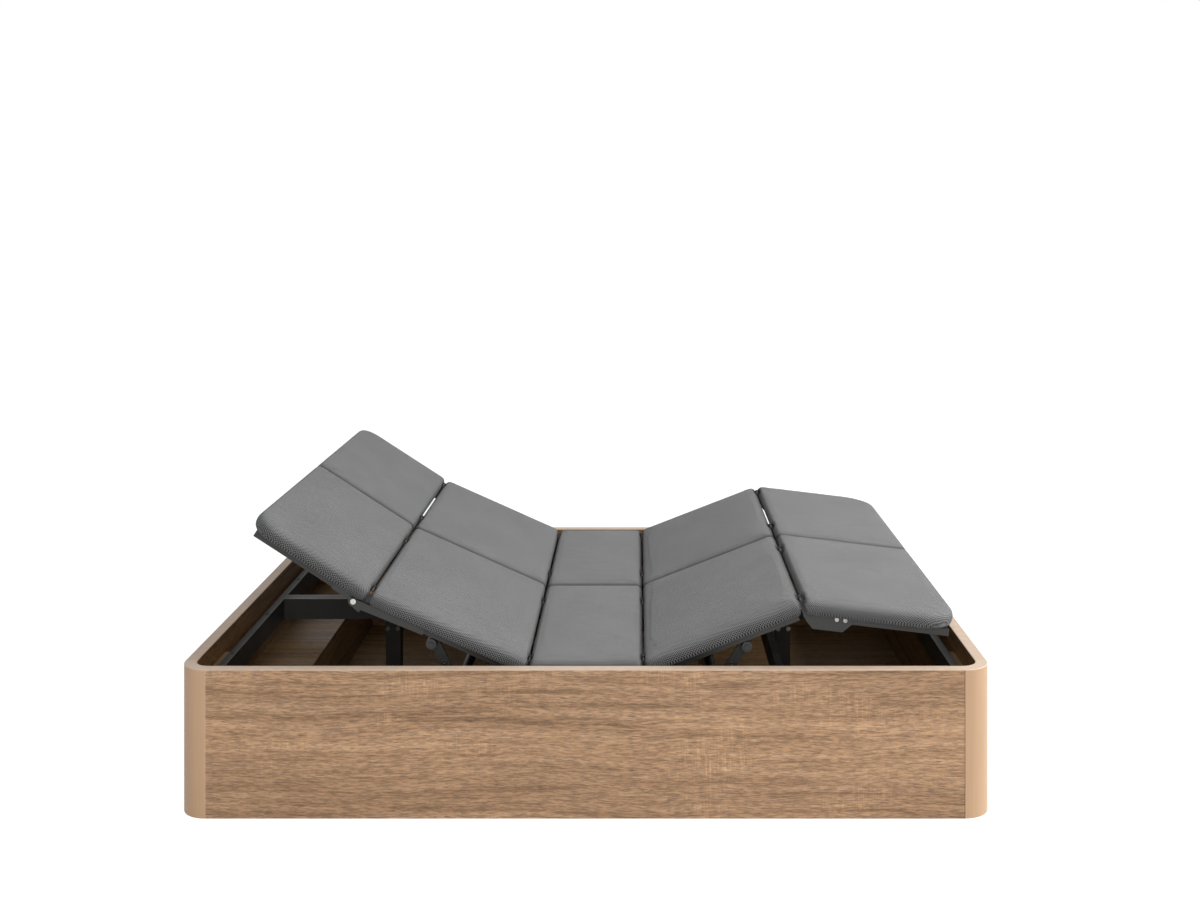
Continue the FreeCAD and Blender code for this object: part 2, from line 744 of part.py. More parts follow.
def back_nodes():
    """Back section with the fixed half of the ratchet fitting."""
    frame = section_rails(head_axis_x, back_axis_x, moving_under)
    frame += cross_tube(back_axis_x - cross_tube_setback - cross_tube_width)
    frame += [hinge_lug(back_axis_x, -1, s, False) for s in stations]
    frame += [hinge_lug(head_axis_x, 1, s, True) for s in stations]
    half_gap = hinge_gap / 2
    corners = (pad_corner, pad_corner)
    reliefs = hinge_notches(head_axis_x) + hinge_notches(back_axis_x)
    front, rear, boards = section_pads(head_axis_x + half_gap, back_axis_x - half_gap, corners, reliefs)
    sides = (-outer_station, outer_station)
    pieces = {
        "back_frame": Part.makeCompound(frame),
        "back_boards": boards,
        "back_pad_front": front,
        "back_pad_rear": rear,
        "head_hinge_pins": Part.makeCompound(hinge_pins(head_axis_x, hinge_z)),
        "ratchet_plates": Part.makeCompound([ratchet_plate(s) for s in sides]),
        "ratchet_stop_pins": Part.makeCompound([stop_pin(s) for s in sides]),
    }
    return {name: fold_back(shape) for name, shape in pieces.items()}


def head_nodes():
    """Head section with the ratchet arms."""
    end_x = head_axis_x - head_length
    frame = section_rails(end_x, head_axis_x, moving_under)
    frame += cross_tube(head_axis_x - cross_tube_setback - ratchet_arm_reach - cross_tube_width)
    frame += [hinge_lug(head_axis_x, -1, s, False) for s in stations]
    corners = (head_corner, pad_corner)
    front, rear, boards = section_pads(end_x, head_axis_x - hinge_gap / 2, corners, hinge_notches(head_axis_x))
    pieces = {
        "head_frame": Part.makeCompound(frame),
        "head_boards": boards,
        "head_pad_front": front,
        "head_pad_rear": rear,
        "ratchet_arms": Part.makeCompound([ratchet_arm(s) for s in (-outer_station, outer_station)]),
    }
    return {name: fold_head(shape) for name, shape in pieces.items()}


def thigh_nodes():
    """Thigh section with the knee pins."""
    frame = section_rails(thigh_axis_x, knee_axis_x, moving_under)
    frame += cross_tube(thigh_axis_x + cross_tube_setback)
    frame += [hinge_lug(thigh_axis_x, 1, s, False) for s in stations]
    frame += [knee_lug(s) for s in stations]
    corners = (pad_corner, pad_corner)
    reliefs = hinge_notches(thigh_axis_x) + knee_reliefs()
    ends = (thigh_axis_x + hinge_gap / 2, knee_axis_x - knee_gap / 2)
    front, rear, boards = section_pads(*ends, corners, reliefs)
    pieces = {
        "thigh_frame": Part.makeCompound(frame),
        "thigh_boards": boards,
        "thigh_pad_front": front,
        "thigh_pad_rear": rear,
        "knee_pins": Part.makeCompound(hinge_pins(knee_axis_x, knee_z)),
    }
    return {name: fold_thigh(shape) for name, shape in pieces.items()}


def link_span():
    """Y span of a leg link on the rear side, beside the inner frame rail."""
    y0 = inner_station + rail_face + lug_thickness + link_gap
    return y0, y0 + link_thickness


def link_head_place():
    """Upper pivot of a leg link with the platform flat."""
    return knee_axis_x + link_head_along, knee_z - link_head_below


def mirrored_span(side, near, far):
    """Span along Y on the front (-1) or rear (+1) side."""
    return sorted((side * near, side * far))


def link_foot_lug(side):
    """Lug on the foot cross rail for the lower pivot of a leg link."""
    near = inner_station + rail_face
    y0, y1 = mirrored_span(side, near, near + lug_thickness)
    radius = link_foot_drop
    lug = block(foot_cross_rail_x, link_foot_x, y0, y1, link_foot_z - radius, chassis_height)
    lug = join([lug, rod_y(link_foot_x, link_foot_z, y0, y1, radius)])
    return lug.cut(pin_hole(link_foot_x, link_foot_z, y0, y1))


def link_head_lug(side):
    """Lug under an inner leg rail for the upper pivot of a leg link."""
    near = inner_station + rail_face
    y0, y1 = mirrored_span(side, near, near + lug_thickness)
    x, z = link_head_place()
    radius = link_width / 2
    lug = join([block(x - radius, x + radius, y0, y1, z, pad_under), rod_y(x, z, y0, y1, radius)])
    return lug.cut(pin_hole(x, z, y0, y1))


def link_pin(side, x, z):
    """Pivot of a leg link with a washer at each end."""
    lug_near = inner_station + rail_face
    near, far = link_span()
    solids = []
    for a, b, radius in ((lug_near, far, pin_radius), (far, far + link_washer, link_washer_radius)):
        y0, y1 = mirrored_span(side, a, b)
        solids.append(rod_y(x, z, y0, y1, radius))
    return join(solids)


def leg_link(side):
    """Flat link that carries the leg section from the foot cross rail."""
    y0, y1 = mirrored_span(side, *link_span())
    head = fold_leg(Part.Vertex(*[link_head_place()[0], 0, link_head_place()[1]])).Point
    bar = capsule_xz(link_foot_x, link_foot_z, head.x, head.z, link_width / 2, y0, y1)
    bar = bar.cut(pin_hole(link_foot_x, link_foot_z, y0, y1))
    return bar.cut(rod_y(head.x, head.z, y0 - overrun, y1 + overrun, pin_radius + link_head_play))


def leg_nodes():
    """Leg section with its knee plates and link pivots, and the links themselves."""
    end_x = knee_axis_x + leg_length
    frame = section_rails(knee_axis_x, end_x, moving_under)
    frame += cross_tube(knee_axis_x + leg_cross_tube_along)
    frame += [link_head_lug(side) for side in (-1, 1)]
    corners = (pad_corner, foot_corner)
    front, rear, boards = section_pads(knee_axis_x + knee_gap / 2, end_x, corners, knee_reliefs())
    pieces = {
        "leg_frame": Part.makeCompound(frame),
        "leg_boards": boards,
        "leg_pad_front": front,
        "leg_pad_rear": rear,
        "knee_plates": Part.makeCompound([knee_plate(s) for s in stations]),
        "link_head_pins": Part.makeCompound([link_pin(side, *link_head_place()) for side in (-1, 1)]),
    }
    nodes = {name: fold_leg(shape) for name, shape in pieces.items()}
    nodes["leg_links"] = Part.makeCompound([leg_link(side) for side in (-1, 1)])
    nodes["link_foot_pins"] = Part.makeCompound([link_pin(side, link_foot_x, link_foot_z) for side in (-1, 1)])
    return nodes


def lift_shaft(x, side, lever_length, lever_angle, crank_lead, crank_y):
    """Tube with two lift levers and a forked crank; side is -1 for the back and +1 for the thighs."""
    reach = chassis_y - shaft_end_clearance
    tube = rod_y(x, shaft_height, -reach, reach, shaft_radius)
    tip_x = x + side * lever_length * math.cos(math.radians(lever_angle))
    tip_z = shaft_height + lever_length * math.sin(math.radians(lever_angle))
    crank_x, crank_z = crank_place(x, side, crank_lead)
    solids = [tube]
    for mirror in (-1, 1):
        y0, y1 = mirrored_span(mirror, lever_face - lever_thickness, lever_face)
        solids.append(capsule_xz(x, shaft_height, tip_x, tip_z, lever_width / 2, y0, y1))
        solids.append(rod_y(x, shaft_height, y0, y1, lever_boss_radius))
        near = roller_width / 2 + roller_clearance
        y0, y1 = sorted((crank_y + mirror * near, crank_y + mirror * (near + crank_plate)))
        solids.append(capsule_xz(x, shaft_height, crank_x, crank_z, roller_radius, y0, y1))
    bore = rod_y(x, shaft_height, -box_width, box_width, shaft_radius - shaft_wall)
    return join(solids).cut(bore)


def crank_place(x, side, crank_lead):
    """Middle of a crank's roller; a lift turns the crank towards the section that it raises."""
    lead = math.radians(crank_lead)
    return x + side * crank_radius * math.sin(lead), shaft_height - crank_radius * math.cos(lead)


def lift_shoes(x, side, lever_length, lever_angle, crank_lead, crank_y):
    """Two shoes that slide under the frame rails, with their bolts, and the roller in the crank."""
    tip_x = x + side * lever_length * math.cos(math.radians(lever_angle))
    tip_z = shaft_height + lever_length * math.sin(math.radians(lever_angle))
    solids = []
    for mirror in (-1, 1):
        y0, y1 = mirrored_span(mirror, lever_face, outer_station + rail_face)
        shoe = rod_y(tip_x, tip_z, y0, y1, shoe_radius)
        y0, y1 = mirrored_span(mirror, outer_station + rail_face, outer_station + rail_face + shoe_bolt_head)
        solids.append(join([shoe, rod_y(tip_x, tip_z, y0, y1, shoe_bolt_radius)]))
    crank_x, crank_z = crank_place(x, side, crank_lead)
    solids.append(rod_y(crank_x, crank_z, crank_y - roller_width / 2 - roller_clearance,
                        crank_y + roller_width / 2 + roller_clearance, roller_radius))
    return Part.makeCompound(solids)


def push_rod(x, side, crank_lead, y):
    """Rod with a flat pusher that bears on the crank's roller."""
    face = crank_place(x, side, crank_lead)[0] - side * (roller_radius + push_gap)
    x0, x1 = sorted((face, face - side * pusher_thickness))
    pusher = block(x0, x1, y - pusher_half_width, y + pusher_half_width,
                   drive_z - pusher_below, drive_z + pusher_above)
    x0, x1 = sorted((face - side * pusher_thickness, face - side * (pusher_thickness + rod_length)))
    return join([pusher, rod_x(x0, x1, y, drive_z, rod_radius)])


def drive_tube(x, side, y):
    """Outer tube of a linear drive, open at the rod's end."""
    front = x - side * drive_tube_front
    x0, x1 = sorted((front, front - side * drive_tube_length))
    bore = rod_x(x0 - overrun, x1 + overrun, y, drive_z, rod_radius + rod_clearance)
    return rod_x(x0, x1, y, drive_z, drive_tube_radius).cut(bore)


def drive_housing(x, side, y):
    """Moulded gearbox at the end of a drive's tube, with its motor lying across it."""
    front = x - side * (drive_tube_front + drive_tube_length)
    x0, x1 = sorted((front, front - side * gearbox_length))
    half = gearbox_width / 2
    box = block(x0, x1, y - half, y + half, rail_under - gearbox_height, rail_under)
    box = box.makeFillet(gearbox_round, [edge for edge in box.Edges if edge.BoundBox.ZLength])
    y0, y1 = sorted((math.copysign(half, y) + y, math.copysign(half + motor_length, y) + y))
    motor = rod_y((x0 + x1) / 2, rail_under - gearbox_height / 2, y0, y1, motor_radius)
    rims = [edge for edge in motor.Edges
            if edge.Closed and abs(edge.BoundBox.Center.y) > abs(y) + half + motor_round]
    return join([box, motor.makeFillet(motor_round, rims)])


def drive_saddle(y, x0):
    """Clamp that hangs a drive's tube from a seat cross rail."""
    clamp = block(x0, x0 + rail_width, y - saddle_half_width, y + saddle_half_width,
                  drive_z - drive_tube_radius - saddle_wall, rail_under)
    return clamp.cut(rod_x(x0 - overrun, x0 + rail_width + overrun, y, drive_z, drive_tube_radius))


def control_unit():
    """Power and control box under the seat cross rails, with the recess of its mains inlet."""
    half = control_length / 2
    y0 = -control_station - control_width / 2
    case = block(-half, half, y0, y0 + control_width, rail_under - control_height, rail_under)
    case = case.makeFillet(control_round, [edge for edge in case.Edges if edge.BoundBox.ZLength])
    inlet_z = rail_under - (control_height + inlet_height) / 2
    inlet = block(half - inlet_depth, half + overrun, -control_station - inlet_width / 2,
                  -control_station + inlet_width / 2, inlet_z, inlet_z + inlet_height)
    return case.cut(inlet)


def drive_nodes():
    """Lift shafts and the linear drives that turn them."""
    nodes = {}
    tubes = []
    housings = []
    sections = (
        ("back", back_shaft_x, -1, back_lever_length, back_lever_angle, -back_crank_lead, drive_station),
        ("thigh", thigh_shaft_x, 1, thigh_lever_length, thigh_lever_angle, thigh_crank_lead, -drive_station),
    )
    for name, x, side, length, angle, lead, y in sections:
        nodes[name + "_lift_shaft"] = lift_shaft(x, side, length, angle, lead, y)
        nodes[name + "_lift_shoes"] = lift_shoes(x, side, length, angle, lead, y)
        nodes[name + "_push_rod"] = push_rod(x, side, lead, y)
        tubes.append(drive_tube(x, side, y))
        housings.append(drive_housing(x, side, y))
    saddles = [drive_saddle(drive_station, -seat_rail_near - rail_width)]
    saddles.append(drive_saddle(-drive_station, seat_rail_near))
    nodes["drive_saddles"] = Part.makeCompound(saddles)
    nodes["drive_tubes"] = Part.makeCompound(tubes)
    nodes["drive_housings"] = Part.makeCompound(housings)
    nodes["control_unit"] = control_unit()
    return nodes


def main():
    """Write one STEP file for each piece."""
    os.makedirs("parts", exist_ok=True)
    for nodes in (box_nodes(), chassis_nodes(), seat_nodes(), back_nodes(), head_nodes(), thigh_nodes(),
                  leg_nodes(), drive_nodes()):
        for name, shape in nodes.items():
            shape.exportStep("parts/%s.step" % name)


main()
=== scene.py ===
"""Looks of the storage bed base: woven pads, oak box, coated steel, and the studio round it."""
import logging
import math
from dataclasses import dataclass
from enum import Enum
from typing import Dict, Iterable, List, Sequence, Tuple, Union

import bmesh
import bpy
from mathutils import Matrix, Vector


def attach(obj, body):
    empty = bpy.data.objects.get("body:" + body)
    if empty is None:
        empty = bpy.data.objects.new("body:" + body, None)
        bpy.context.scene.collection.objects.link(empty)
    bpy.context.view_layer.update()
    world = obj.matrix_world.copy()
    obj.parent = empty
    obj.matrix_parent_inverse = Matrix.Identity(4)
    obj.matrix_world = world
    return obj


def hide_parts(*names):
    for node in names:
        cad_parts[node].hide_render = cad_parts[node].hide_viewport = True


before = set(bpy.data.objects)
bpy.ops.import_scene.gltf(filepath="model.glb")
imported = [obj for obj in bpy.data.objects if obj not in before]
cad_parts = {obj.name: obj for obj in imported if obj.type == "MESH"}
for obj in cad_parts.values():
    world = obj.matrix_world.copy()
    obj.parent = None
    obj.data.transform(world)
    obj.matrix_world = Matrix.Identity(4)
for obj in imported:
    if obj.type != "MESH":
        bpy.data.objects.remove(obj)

LOG = logging.getLogger("bed_base")
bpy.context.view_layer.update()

Colour = Tuple[float, float, float]
Socket = bpy.types.NodeSocket
Value = Union[float, Sequence[float], Socket]


def srgb(red: float, green: float, blue: float) -> Colour:
    """Linear colour of an 8-bit screen colour.

    Args:
        red: Red channel, 0 to 255.
        green: Green channel, 0 to 255.
        blue: Blue channel, 0 to 255.

    Returns:
        The three linear channels.
    """
    def channel(value: float) -> float:
        """One channel in linear light."""
        share = value / 255.0
        return share / 12.92 if share <= 0.04045 else ((share + 0.055) / 1.055) ** 2.4
    return channel(red), channel(green), channel(blue)


class Graph:
    """Short calls for adding shader nodes to a tree and joining them."""

    def __init__(self, tree: bpy.types.NodeTree) -> None:
        """Keep the tree that the calls add to."""
        self.tree = tree

    def add(self, kind: str, **settings: object) -> bpy.types.Node:
        """Add a node.

        Args:
            kind: Blender's name of the node type.
            settings: Properties to set on the node.

        Returns:
            The new node.
        """
        node = self.tree.nodes.new(kind)
        for key, value in settings.items():
            setattr(node, key, value)
        return node

    def put(self, socket: Socket, value: Value) -> None:
        """Link a socket, or set its own value."""
        if isinstance(value, bpy.types.NodeSocket):
            self.tree.links.new(value, socket)
        elif isinstance(value, (int, float)):
            socket.default_value = value
        else:
            filled = list(value)
            if len(socket.default_value) == 4 and len(filled) == 3:
                filled.append(1.0)
            socket.default_value = filled

    def calc(self, operation: str, first: Value, second: Value = 0.0, third: Value = 0.0) -> Socket:
        """Result of a Math node on up to three values."""
        node = self.add("ShaderNodeMath", operation=operation)
        for socket, value in zip(node.inputs, (first, second, third)):
            self.put(socket, value)
        return node.outputs[0]

    def mix(self, factor: Value, first: Value, second: Value, blend: str = "MIX") -> Socket:
        """Colour between two colours."""
        node = self.add("ShaderNodeMix", data_type="RGBA", blend_type=blend)
        self.put(node.inputs["Factor"], factor)
        self.put(node.inputs[6], first)
        self.put(node.inputs[7], second)
        return node.outputs[2]

    def scale(self, colour: Value, factor: Value) -> Socket:
        """Colour made lighter or darker by a factor."""
        node = self.add("ShaderNodeVectorMath", operation="SCALE")
        self.put(node.inputs[0], colour)
        self.put(node.inputs["Scale"], factor)
        return node.outputs[0]

    def stretch(self, vector: Value, scale: Sequence[float], turn: Sequence[float] = (0.0, 0.0, 0.0),
                shift: Sequence[float] = (0.0, 0.0, 0.0)) -> Socket:
        """Coordinates after a Mapping node."""
        node = self.add("ShaderNodeMapping")
        self.put(node.inputs["Vector"], vector)
        self.put(node.inputs["Scale"], scale)
        self.put(node.inputs["Rotation"], turn)
        self.put(node.inputs["Location"], shift)
        return node.outputs[0]

    def noise(self, vector: Value, scale: float, detail: float = 3.0, rough: float = 0.55,
              distortion: float = 0.0) -> Socket:
        """Noise value between 0 and 1."""
        node = self.add("ShaderNodeTexNoise")
        self.put(node.inputs["Vector"], vector)
        self.put(node.inputs["Scale"], scale)
        self.put(node.inputs["Detail"], detail)
        self.put(node.inputs["Roughness"], rough)
        self.put(node.inputs["Distortion"], distortion)
        return node.outputs["Fac"]

    def between(self, value: Value, low: float, high: float, out_low: float = 0.0, out_high: float = 1.0) -> Socket:
        """Value spread smoothly from one range to another and held inside it."""
        node = self.add("ShaderNodeMapRange", interpolation_type="SMOOTHSTEP")
        for name, number in (("Value", value), ("From Min", low), ("From Max", high), ("To Min", out_low),
                             ("To Max", out_high)):
            self.put(node.inputs[name], number)
        return node.outputs[0]

    def parts(self, vector: Value) -> Tuple[Socket, Socket, Socket]:
        """The three components of a vector."""
        node = self.add("ShaderNodeSeparateXYZ")
        self.put(node.inputs[0], vector)
        return node.outputs[0], node.outputs[1], node.outputs[2]

    def join(self, x: Value, y: Value, z: Value) -> Socket:
        """Vector from three components."""
        node = self.add("ShaderNodeCombineXYZ")
        for socket, value in zip(node.inputs, (x, y, z)):
            self.put(socket, value)
        return node.outputs[0]

    def bump(self, height: Value, depth: float, strength: float = 1.0) -> Socket:
        """Normal from a height between 0 and 1 that stands for a depth in metres."""
        node = self.add("ShaderNodeBump")
        self.put(node.inputs["Height"], height)
        self.put(node.inputs["Distance"], depth)
        self.put(node.inputs["Strength"], strength)
        return node.outputs[0]

    def use(self, group: bpy.types.NodeTree, **values: Value) -> bpy.types.Node:
        """Place a node group with its own values."""
        node = self.add("ShaderNodeGroup", node_tree=group)
        for name, value in values.items():
            self.put(node.inputs[name], value)
        return node


class Effects:
    """Shader node groups that several finishes share."""

    def __init__(self) -> None:
        """Build every group once."""
        self.oak = self._oak()
        self.speckle = self._speckle()
        self.cloth = self._cloth()

    @staticmethod
    def _group(name: str, inputs: Dict[str, str], outputs: Dict[str, str]) -> Tuple[Graph, Dict[str, Socket],
                                                                                   bpy.types.Node]:
        """Empty group with named sockets.

        Args:
            name: Name of the group.
            inputs: Socket types by input name.
            outputs: Socket types by output name.

        Returns:
            The graph, the input sockets by name and the output node.
        """
        tree = bpy.data.node_groups.new(name, "ShaderNodeTree")
        for label, kind in inputs.items():
            tree.interface.new_socket(label, in_out="INPUT", socket_type=kind)
        for label, kind in outputs.items():
            tree.interface.new_socket(label, in_out="OUTPUT", socket_type=kind)
        graph = Graph(tree)
        source = graph.add("NodeGroupInput")
        return graph, {label: source.outputs[label] for label in inputs}, graph.add("NodeGroupOutput")

    def _oak(self) -> bpy.types.NodeTree:
        """Oak decor with the grain along X: streaks, pores and pale saw marks."""
        graph, given, out = self._group(
            "oak_decor",
            {"Vector": "NodeSocketVector", "Light": "NodeSocketColor", "Mid": "NodeSocketColor",
             "Dark": "NodeSocketColor"},
            {"Color": "NodeSocketColor", "Height": "NodeSocketFloat", "Roughness": "NodeSocketFloat"})
        place = given["Vector"]
        drift = graph.noise(graph.stretch(place, (1.3, 1.0, 4.2)), 1.0, 2.0, 0.5)
        x, y, z = graph.parts(place)
        bent = graph.join(x, y, graph.calc("MULTIPLY_ADD", drift, 0.08, z))
        streak = graph.noise(graph.stretch(bent, (1.7, 1.6, 44.0)), 1.0, 6.0, 0.68, 0.2)
        line = graph.noise(graph.stretch(bent, (3.2, 3.0, 125.0), shift=(1.9, 0.0, 4.3)), 1.0, 4.0, 0.6)
        band = graph.noise(graph.stretch(bent, (0.5, 1.0, 8.0), shift=(3.1, 0.0, 1.7)), 1.0, 3.0, 0.5)
        fibre = graph.noise(graph.stretch(bent, (48.0, 48.0, 340.0)), 1.0, 3.0, 0.6)
        pore = graph.noise(graph.stretch(bent, (36.0, 60.0, 620.0), shift=(0.4, 0.0, 2.2)), 1.0, 2.0, 0.5)
        patch = graph.noise(graph.stretch(place, (3.4, 1.0, 8.5), shift=(7.3, 0.0, 0.6)), 1.0, 2.0, 0.5)
        saw = graph.noise(graph.stretch(place, (230.0, 30.0, 16.0)), 1.0, 2.0, 0.6)
        pale = graph.mix(graph.between(streak, 0.42, 0.66), given["Mid"], given["Light"])
        tone = graph.mix(graph.between(streak, 0.47, 0.31, 0.0, 0.75), pale, given["Dark"])
        tone = graph.mix(graph.between(line, 0.44, 0.3, 0.0, 0.5), tone, given["Dark"])
        wide = graph.between(band, 0.36, 0.64, 0.9, 1.08)
        fine = graph.between(fibre, 0.34, 0.66, 0.7, 1.26)
        dots = graph.between(pore, 0.55, 0.68, 1.04, 0.58)
        marks = graph.calc("MULTIPLY", graph.between(patch, 0.52, 0.7), graph.between(saw, 0.5, 0.64))
        lift = graph.calc("MULTIPLY_ADD", marks, 0.32, 1.0)
        shade = graph.calc("MULTIPLY", graph.calc("MULTIPLY", wide, fine), graph.calc("MULTIPLY", dots, lift))
        graph.put(out.inputs["Color"], graph.scale(tone, shade))
        graph.put(out.inputs["Height"], graph.calc("MULTIPLY", fibre, dots))
        graph.put(out.inputs["Roughness"], graph.between(streak, 0.3, 0.7, 0.58, 0.46))
        return graph.tree

    def _speckle(self) -> bpy.types.NodeTree:
        """Fine grain of a coated or moulded surface with slow changes of tone."""
        graph, given, out = self._group(
            "fine_speckle", {"Vector": "NodeSocketVector", "Color": "NodeSocketColor", "Grain": "NodeSocketFloat",
                             "Roughness": "NodeSocketFloat"},
            {"Color": "NodeSocketColor", "Height": "NodeSocketFloat", "Roughness": "NodeSocketFloat"})
        grain = graph.add("ShaderNodeTexNoise")
        graph.put(grain.inputs["Vector"], given["Vector"])
        graph.put(grain.inputs["Scale"], given["Grain"])
        graph.put(grain.inputs["Detail"], 2.0)
        slow = graph.noise(given["Vector"], 7.0, 3.0)
        shade = graph.calc("MULTIPLY", graph.between(slow, 0.3, 0.7, 0.85, 1.15),
                           graph.between(grain.outputs["Fac"], 0.3, 0.7, 0.88, 1.12))
        graph.put(out.inputs["Color"], graph.scale(given["Color"], shade))
        graph.put(out.inputs["Height"], grain.outputs["Fac"])
        change = graph.between(slow, 0.3, 0.7, -0.07, 0.07)
        graph.put(out.inputs["Roughness"], graph.calc("ADD", given["Roughness"], change))
        return graph.tree

    def _cloth(self) -> bpy.types.NodeTree:
        """Spacer mesh cloth: staggered small openings between ribs, on cloth coordinates in metres."""
        graph, given, out = self._group(
            "spacer_mesh", {"Vector": "NodeSocketVector", "Pitch": "NodeSocketFloat", "Yarn": "NodeSocketColor",
                            "Opening": "NodeSocketColor"},
            {"Color": "NodeSocketColor", "Height": "NodeSocketFloat"})
        count = graph.calc("DIVIDE", 1.0, given["Pitch"])
        cells = graph.add("ShaderNodeTexVoronoi", voronoi_dimensions="2D", feature="F1")
        graph.put(cells.inputs["Vector"], graph.stretch(given["Vector"], (1.0, 1.25, 1.0), (0.0, 0.0, math.pi / 4)))
        graph.put(cells.inputs["Scale"], count)
        graph.put(cells.inputs["Randomness"], 0.0)
        hole = graph.between(cells.outputs["Distance"], 0.24, 0.5, 1.0, 0.0)
        u, v, _ = graph.parts(given["Vector"])
        thread = graph.calc("SINE", graph.calc("MULTIPLY", graph.calc("MULTIPLY", v, count), 25.0))
        twist = graph.calc("SINE", graph.calc("MULTIPLY", graph.calc("MULTIPLY", u, count), 19.0))
        yarn = graph.calc("MULTIPLY_ADD", graph.calc("MULTIPLY", thread, twist), 0.12, 0.88)
        slub = graph.between(graph.noise(graph.stretch(given["Vector"], (18.0, 240.0, 1.0)), 1.0, 2.0), 0.3, 0.7,
                             0.9, 1.1)
        slow = graph.between(graph.noise(given["Vector"], 5.0, 2.0), 0.3, 0.7, 0.95, 1.05)
        shade = graph.calc("MULTIPLY", graph.calc("MULTIPLY", yarn, slub), slow)
        base = graph.mix(hole, given["Yarn"], given["Opening"])
        graph.put(out.inputs["Color"], graph.scale(base, shade))
        low = graph.calc("SUBTRACT", 1.0, hole)
        graph.put(out.inputs["Height"], graph.calc("MULTIPLY", low, yarn))
        return graph.tree


class Finish:
    """A finish that can make its material."""

    name: str

    def material(self, effects: Effects) -> bpy.types.Material:
        """Make the material."""
        raise NotImplementedError

    @staticmethod
    def start(name: str) -> Tuple[bpy.types.Material, Graph, bpy.types.Node, Socket, Socket]:
        """Material with a Principled shader.

        Args:
            name: Name of the material.

        Returns:
            The material, its graph, the shader, object coordinates and object normals.
        """
        made = bpy.data.materials.new(name)
        made.use_nodes = True
        graph = Graph(made.node_tree)
        shader = made.node_tree.nodes["Principled BSDF"]
        place = graph.add("ShaderNodeTexCoord")
        return made, graph, shader, place.outputs["Object"], place.outputs["Normal"]


class Grain(Enum):
    """Direction in which the oak grain runs on a board, as a turn about the upright."""

    ALONG = 0.0
    ACROSS = math.pi / 2


@dataclass(frozen=True)
class OakFinish(Finish):
    """Oak decor on a panel: paler band on the upper edge, painted highlight and shade at the post joints, inner
    faces darker by lining and painted shade.
    """

    name: str
    grain: Grain
    light: Colour
    mid: Colour
    dark: Colour
    band: Colour
    band_from: float
    flat: bool = False
    seam_at: float = 0.925
    inside: Tuple[float, float] = (0.0, 0.0)
    # Colour that darkens the inner faces: partly a darker lining board, partly painted shade inside the box.
    lining_and_shade: Colour = (0.5, 0.42, 0.26)
    fade: float = 0.0004
    inner_fade: float = 0.001
    joint_inner: Tuple[float, float] = (-0.0022, -0.0012)
    joint_outer: Tuple[float, float] = (0.001, 0.0002)
    # Shares of a painted highlight in the left post joints and of painted shade in the right post joints.
    joint_painted_highlight: float = 0.55
    joint_painted_shade: float = 0.7

    def material(self, effects: Effects) -> bpy.types.Material:
        """Make the material."""
        made, graph, shader, place, normal = self.start(self.name)
        turn = (math.pi / 2 if self.flat else 0.0, 0.0, self.grain.value)
        decor = graph.use(effects.oak, Vector=graph.stretch(place, (1.0, 1.0, 1.0), turn), Light=self.light,
                          Mid=self.mid, Dark=self.dark)
        x, y, z = graph.parts(place)
        upward = graph.parts(normal)[2]
        top = graph.calc("MULTIPLY", graph.between(z, self.band_from, self.band_from + self.fade),
                         graph.between(upward, 0.05, 0.5))
        faint = graph.noise(graph.stretch(place, (3.0, 3.0, 3.0)), 14.0, 3.0)
        edge = graph.mix(graph.between(faint, 0.35, 0.65), self.band, [c * 0.92 for c in self.band])
        away = graph.calc("ABSOLUTE", x)
        groove = graph.calc("MULTIPLY", graph.between(away, *[self.seam_at + step for step in self.joint_inner]),
                            graph.between(away, *[self.seam_at + step for step in self.joint_outer]))
        # Inner faces of the panels, darkened by a colour that is partly lining and partly painted shade.
        within = graph.calc("MULTIPLY", graph.between(away, self.inside[0] + self.inner_fade, self.inside[0]),
                            graph.between(graph.calc("ABSOLUTE", y), self.inside[1] + self.inner_fade,
                                          self.inside[1]))
        lining_and_shade = graph.mix(1.0, decor.outputs["Color"], self.lining_and_shade, "MULTIPLY")
        sides = graph.mix(within, decor.outputs["Color"], lining_and_shade)
        # Painted light at the post joints: a pale painted highlight on the left joints, painted shade on the right
        # joints.
        left_joint_painted_highlight = graph.calc("MULTIPLY", groove, graph.between(x, 0.01, -0.01, 0.0, self.joint_painted_highlight))
        right_joint_painted_shade = graph.calc("MULTIPLY", groove, graph.between(x, -0.01, 0.01, 0.0, self.joint_painted_shade))
        tone = graph.mix(right_joint_painted_shade, graph.mix(left_joint_painted_highlight, sides, self.band), [c * 0.4 for c in self.dark])
        graph.put(shader.inputs["Base Color"], graph.mix(top, tone, edge))
        graph.put(shader.inputs["Roughness"], decor.outputs["Roughness"])
        graph.put(shader.inputs["Normal"], graph.bump(decor.outputs["Height"], 0.0004, 0.35))
        return made


@dataclass(frozen=True)
class PostFinish(Finish):
    """Plain wood-tone foil wrapped round a corner post."""

    name: str
    tone: Colour
    band: Colour
    band_from: float

    def material(self, effects: Effects) -> bpy.types.Material:
        """Make the material."""
        made, graph, shader, place, normal = self.start(self.name)
        fibre = graph.noise(graph.stretch(place, (210.0, 210.0, 3.0)), 1.0, 4.0, 0.6)
        cloud = graph.noise(graph.stretch(place, (9.0, 9.0, 2.2)), 1.0, 2.0)
        shade = graph.calc("MULTIPLY", graph.between(fibre, 0.3, 0.7, 0.955, 1.04),
                           graph.between(cloud, 0.3, 0.7, 0.96, 1.04))
        foil = graph.scale(self.tone, shade)
        _, _, z = graph.parts(place)
        upward = graph.parts(normal)[2]
        top = graph.calc("MULTIPLY", graph.between(z, self.band_from, self.band_from + 0.0004),
                         graph.between(upward, 0.05, 0.5))
        graph.put(shader.inputs["Base Color"], graph.mix(top, foil, self.band))
        graph.put(shader.inputs["Roughness"], graph.between(fibre, 0.3, 0.7, 0.42, 0.5))
        graph.put(shader.inputs["Normal"], graph.bump(fibre, 0.0002, 0.2))
        return made


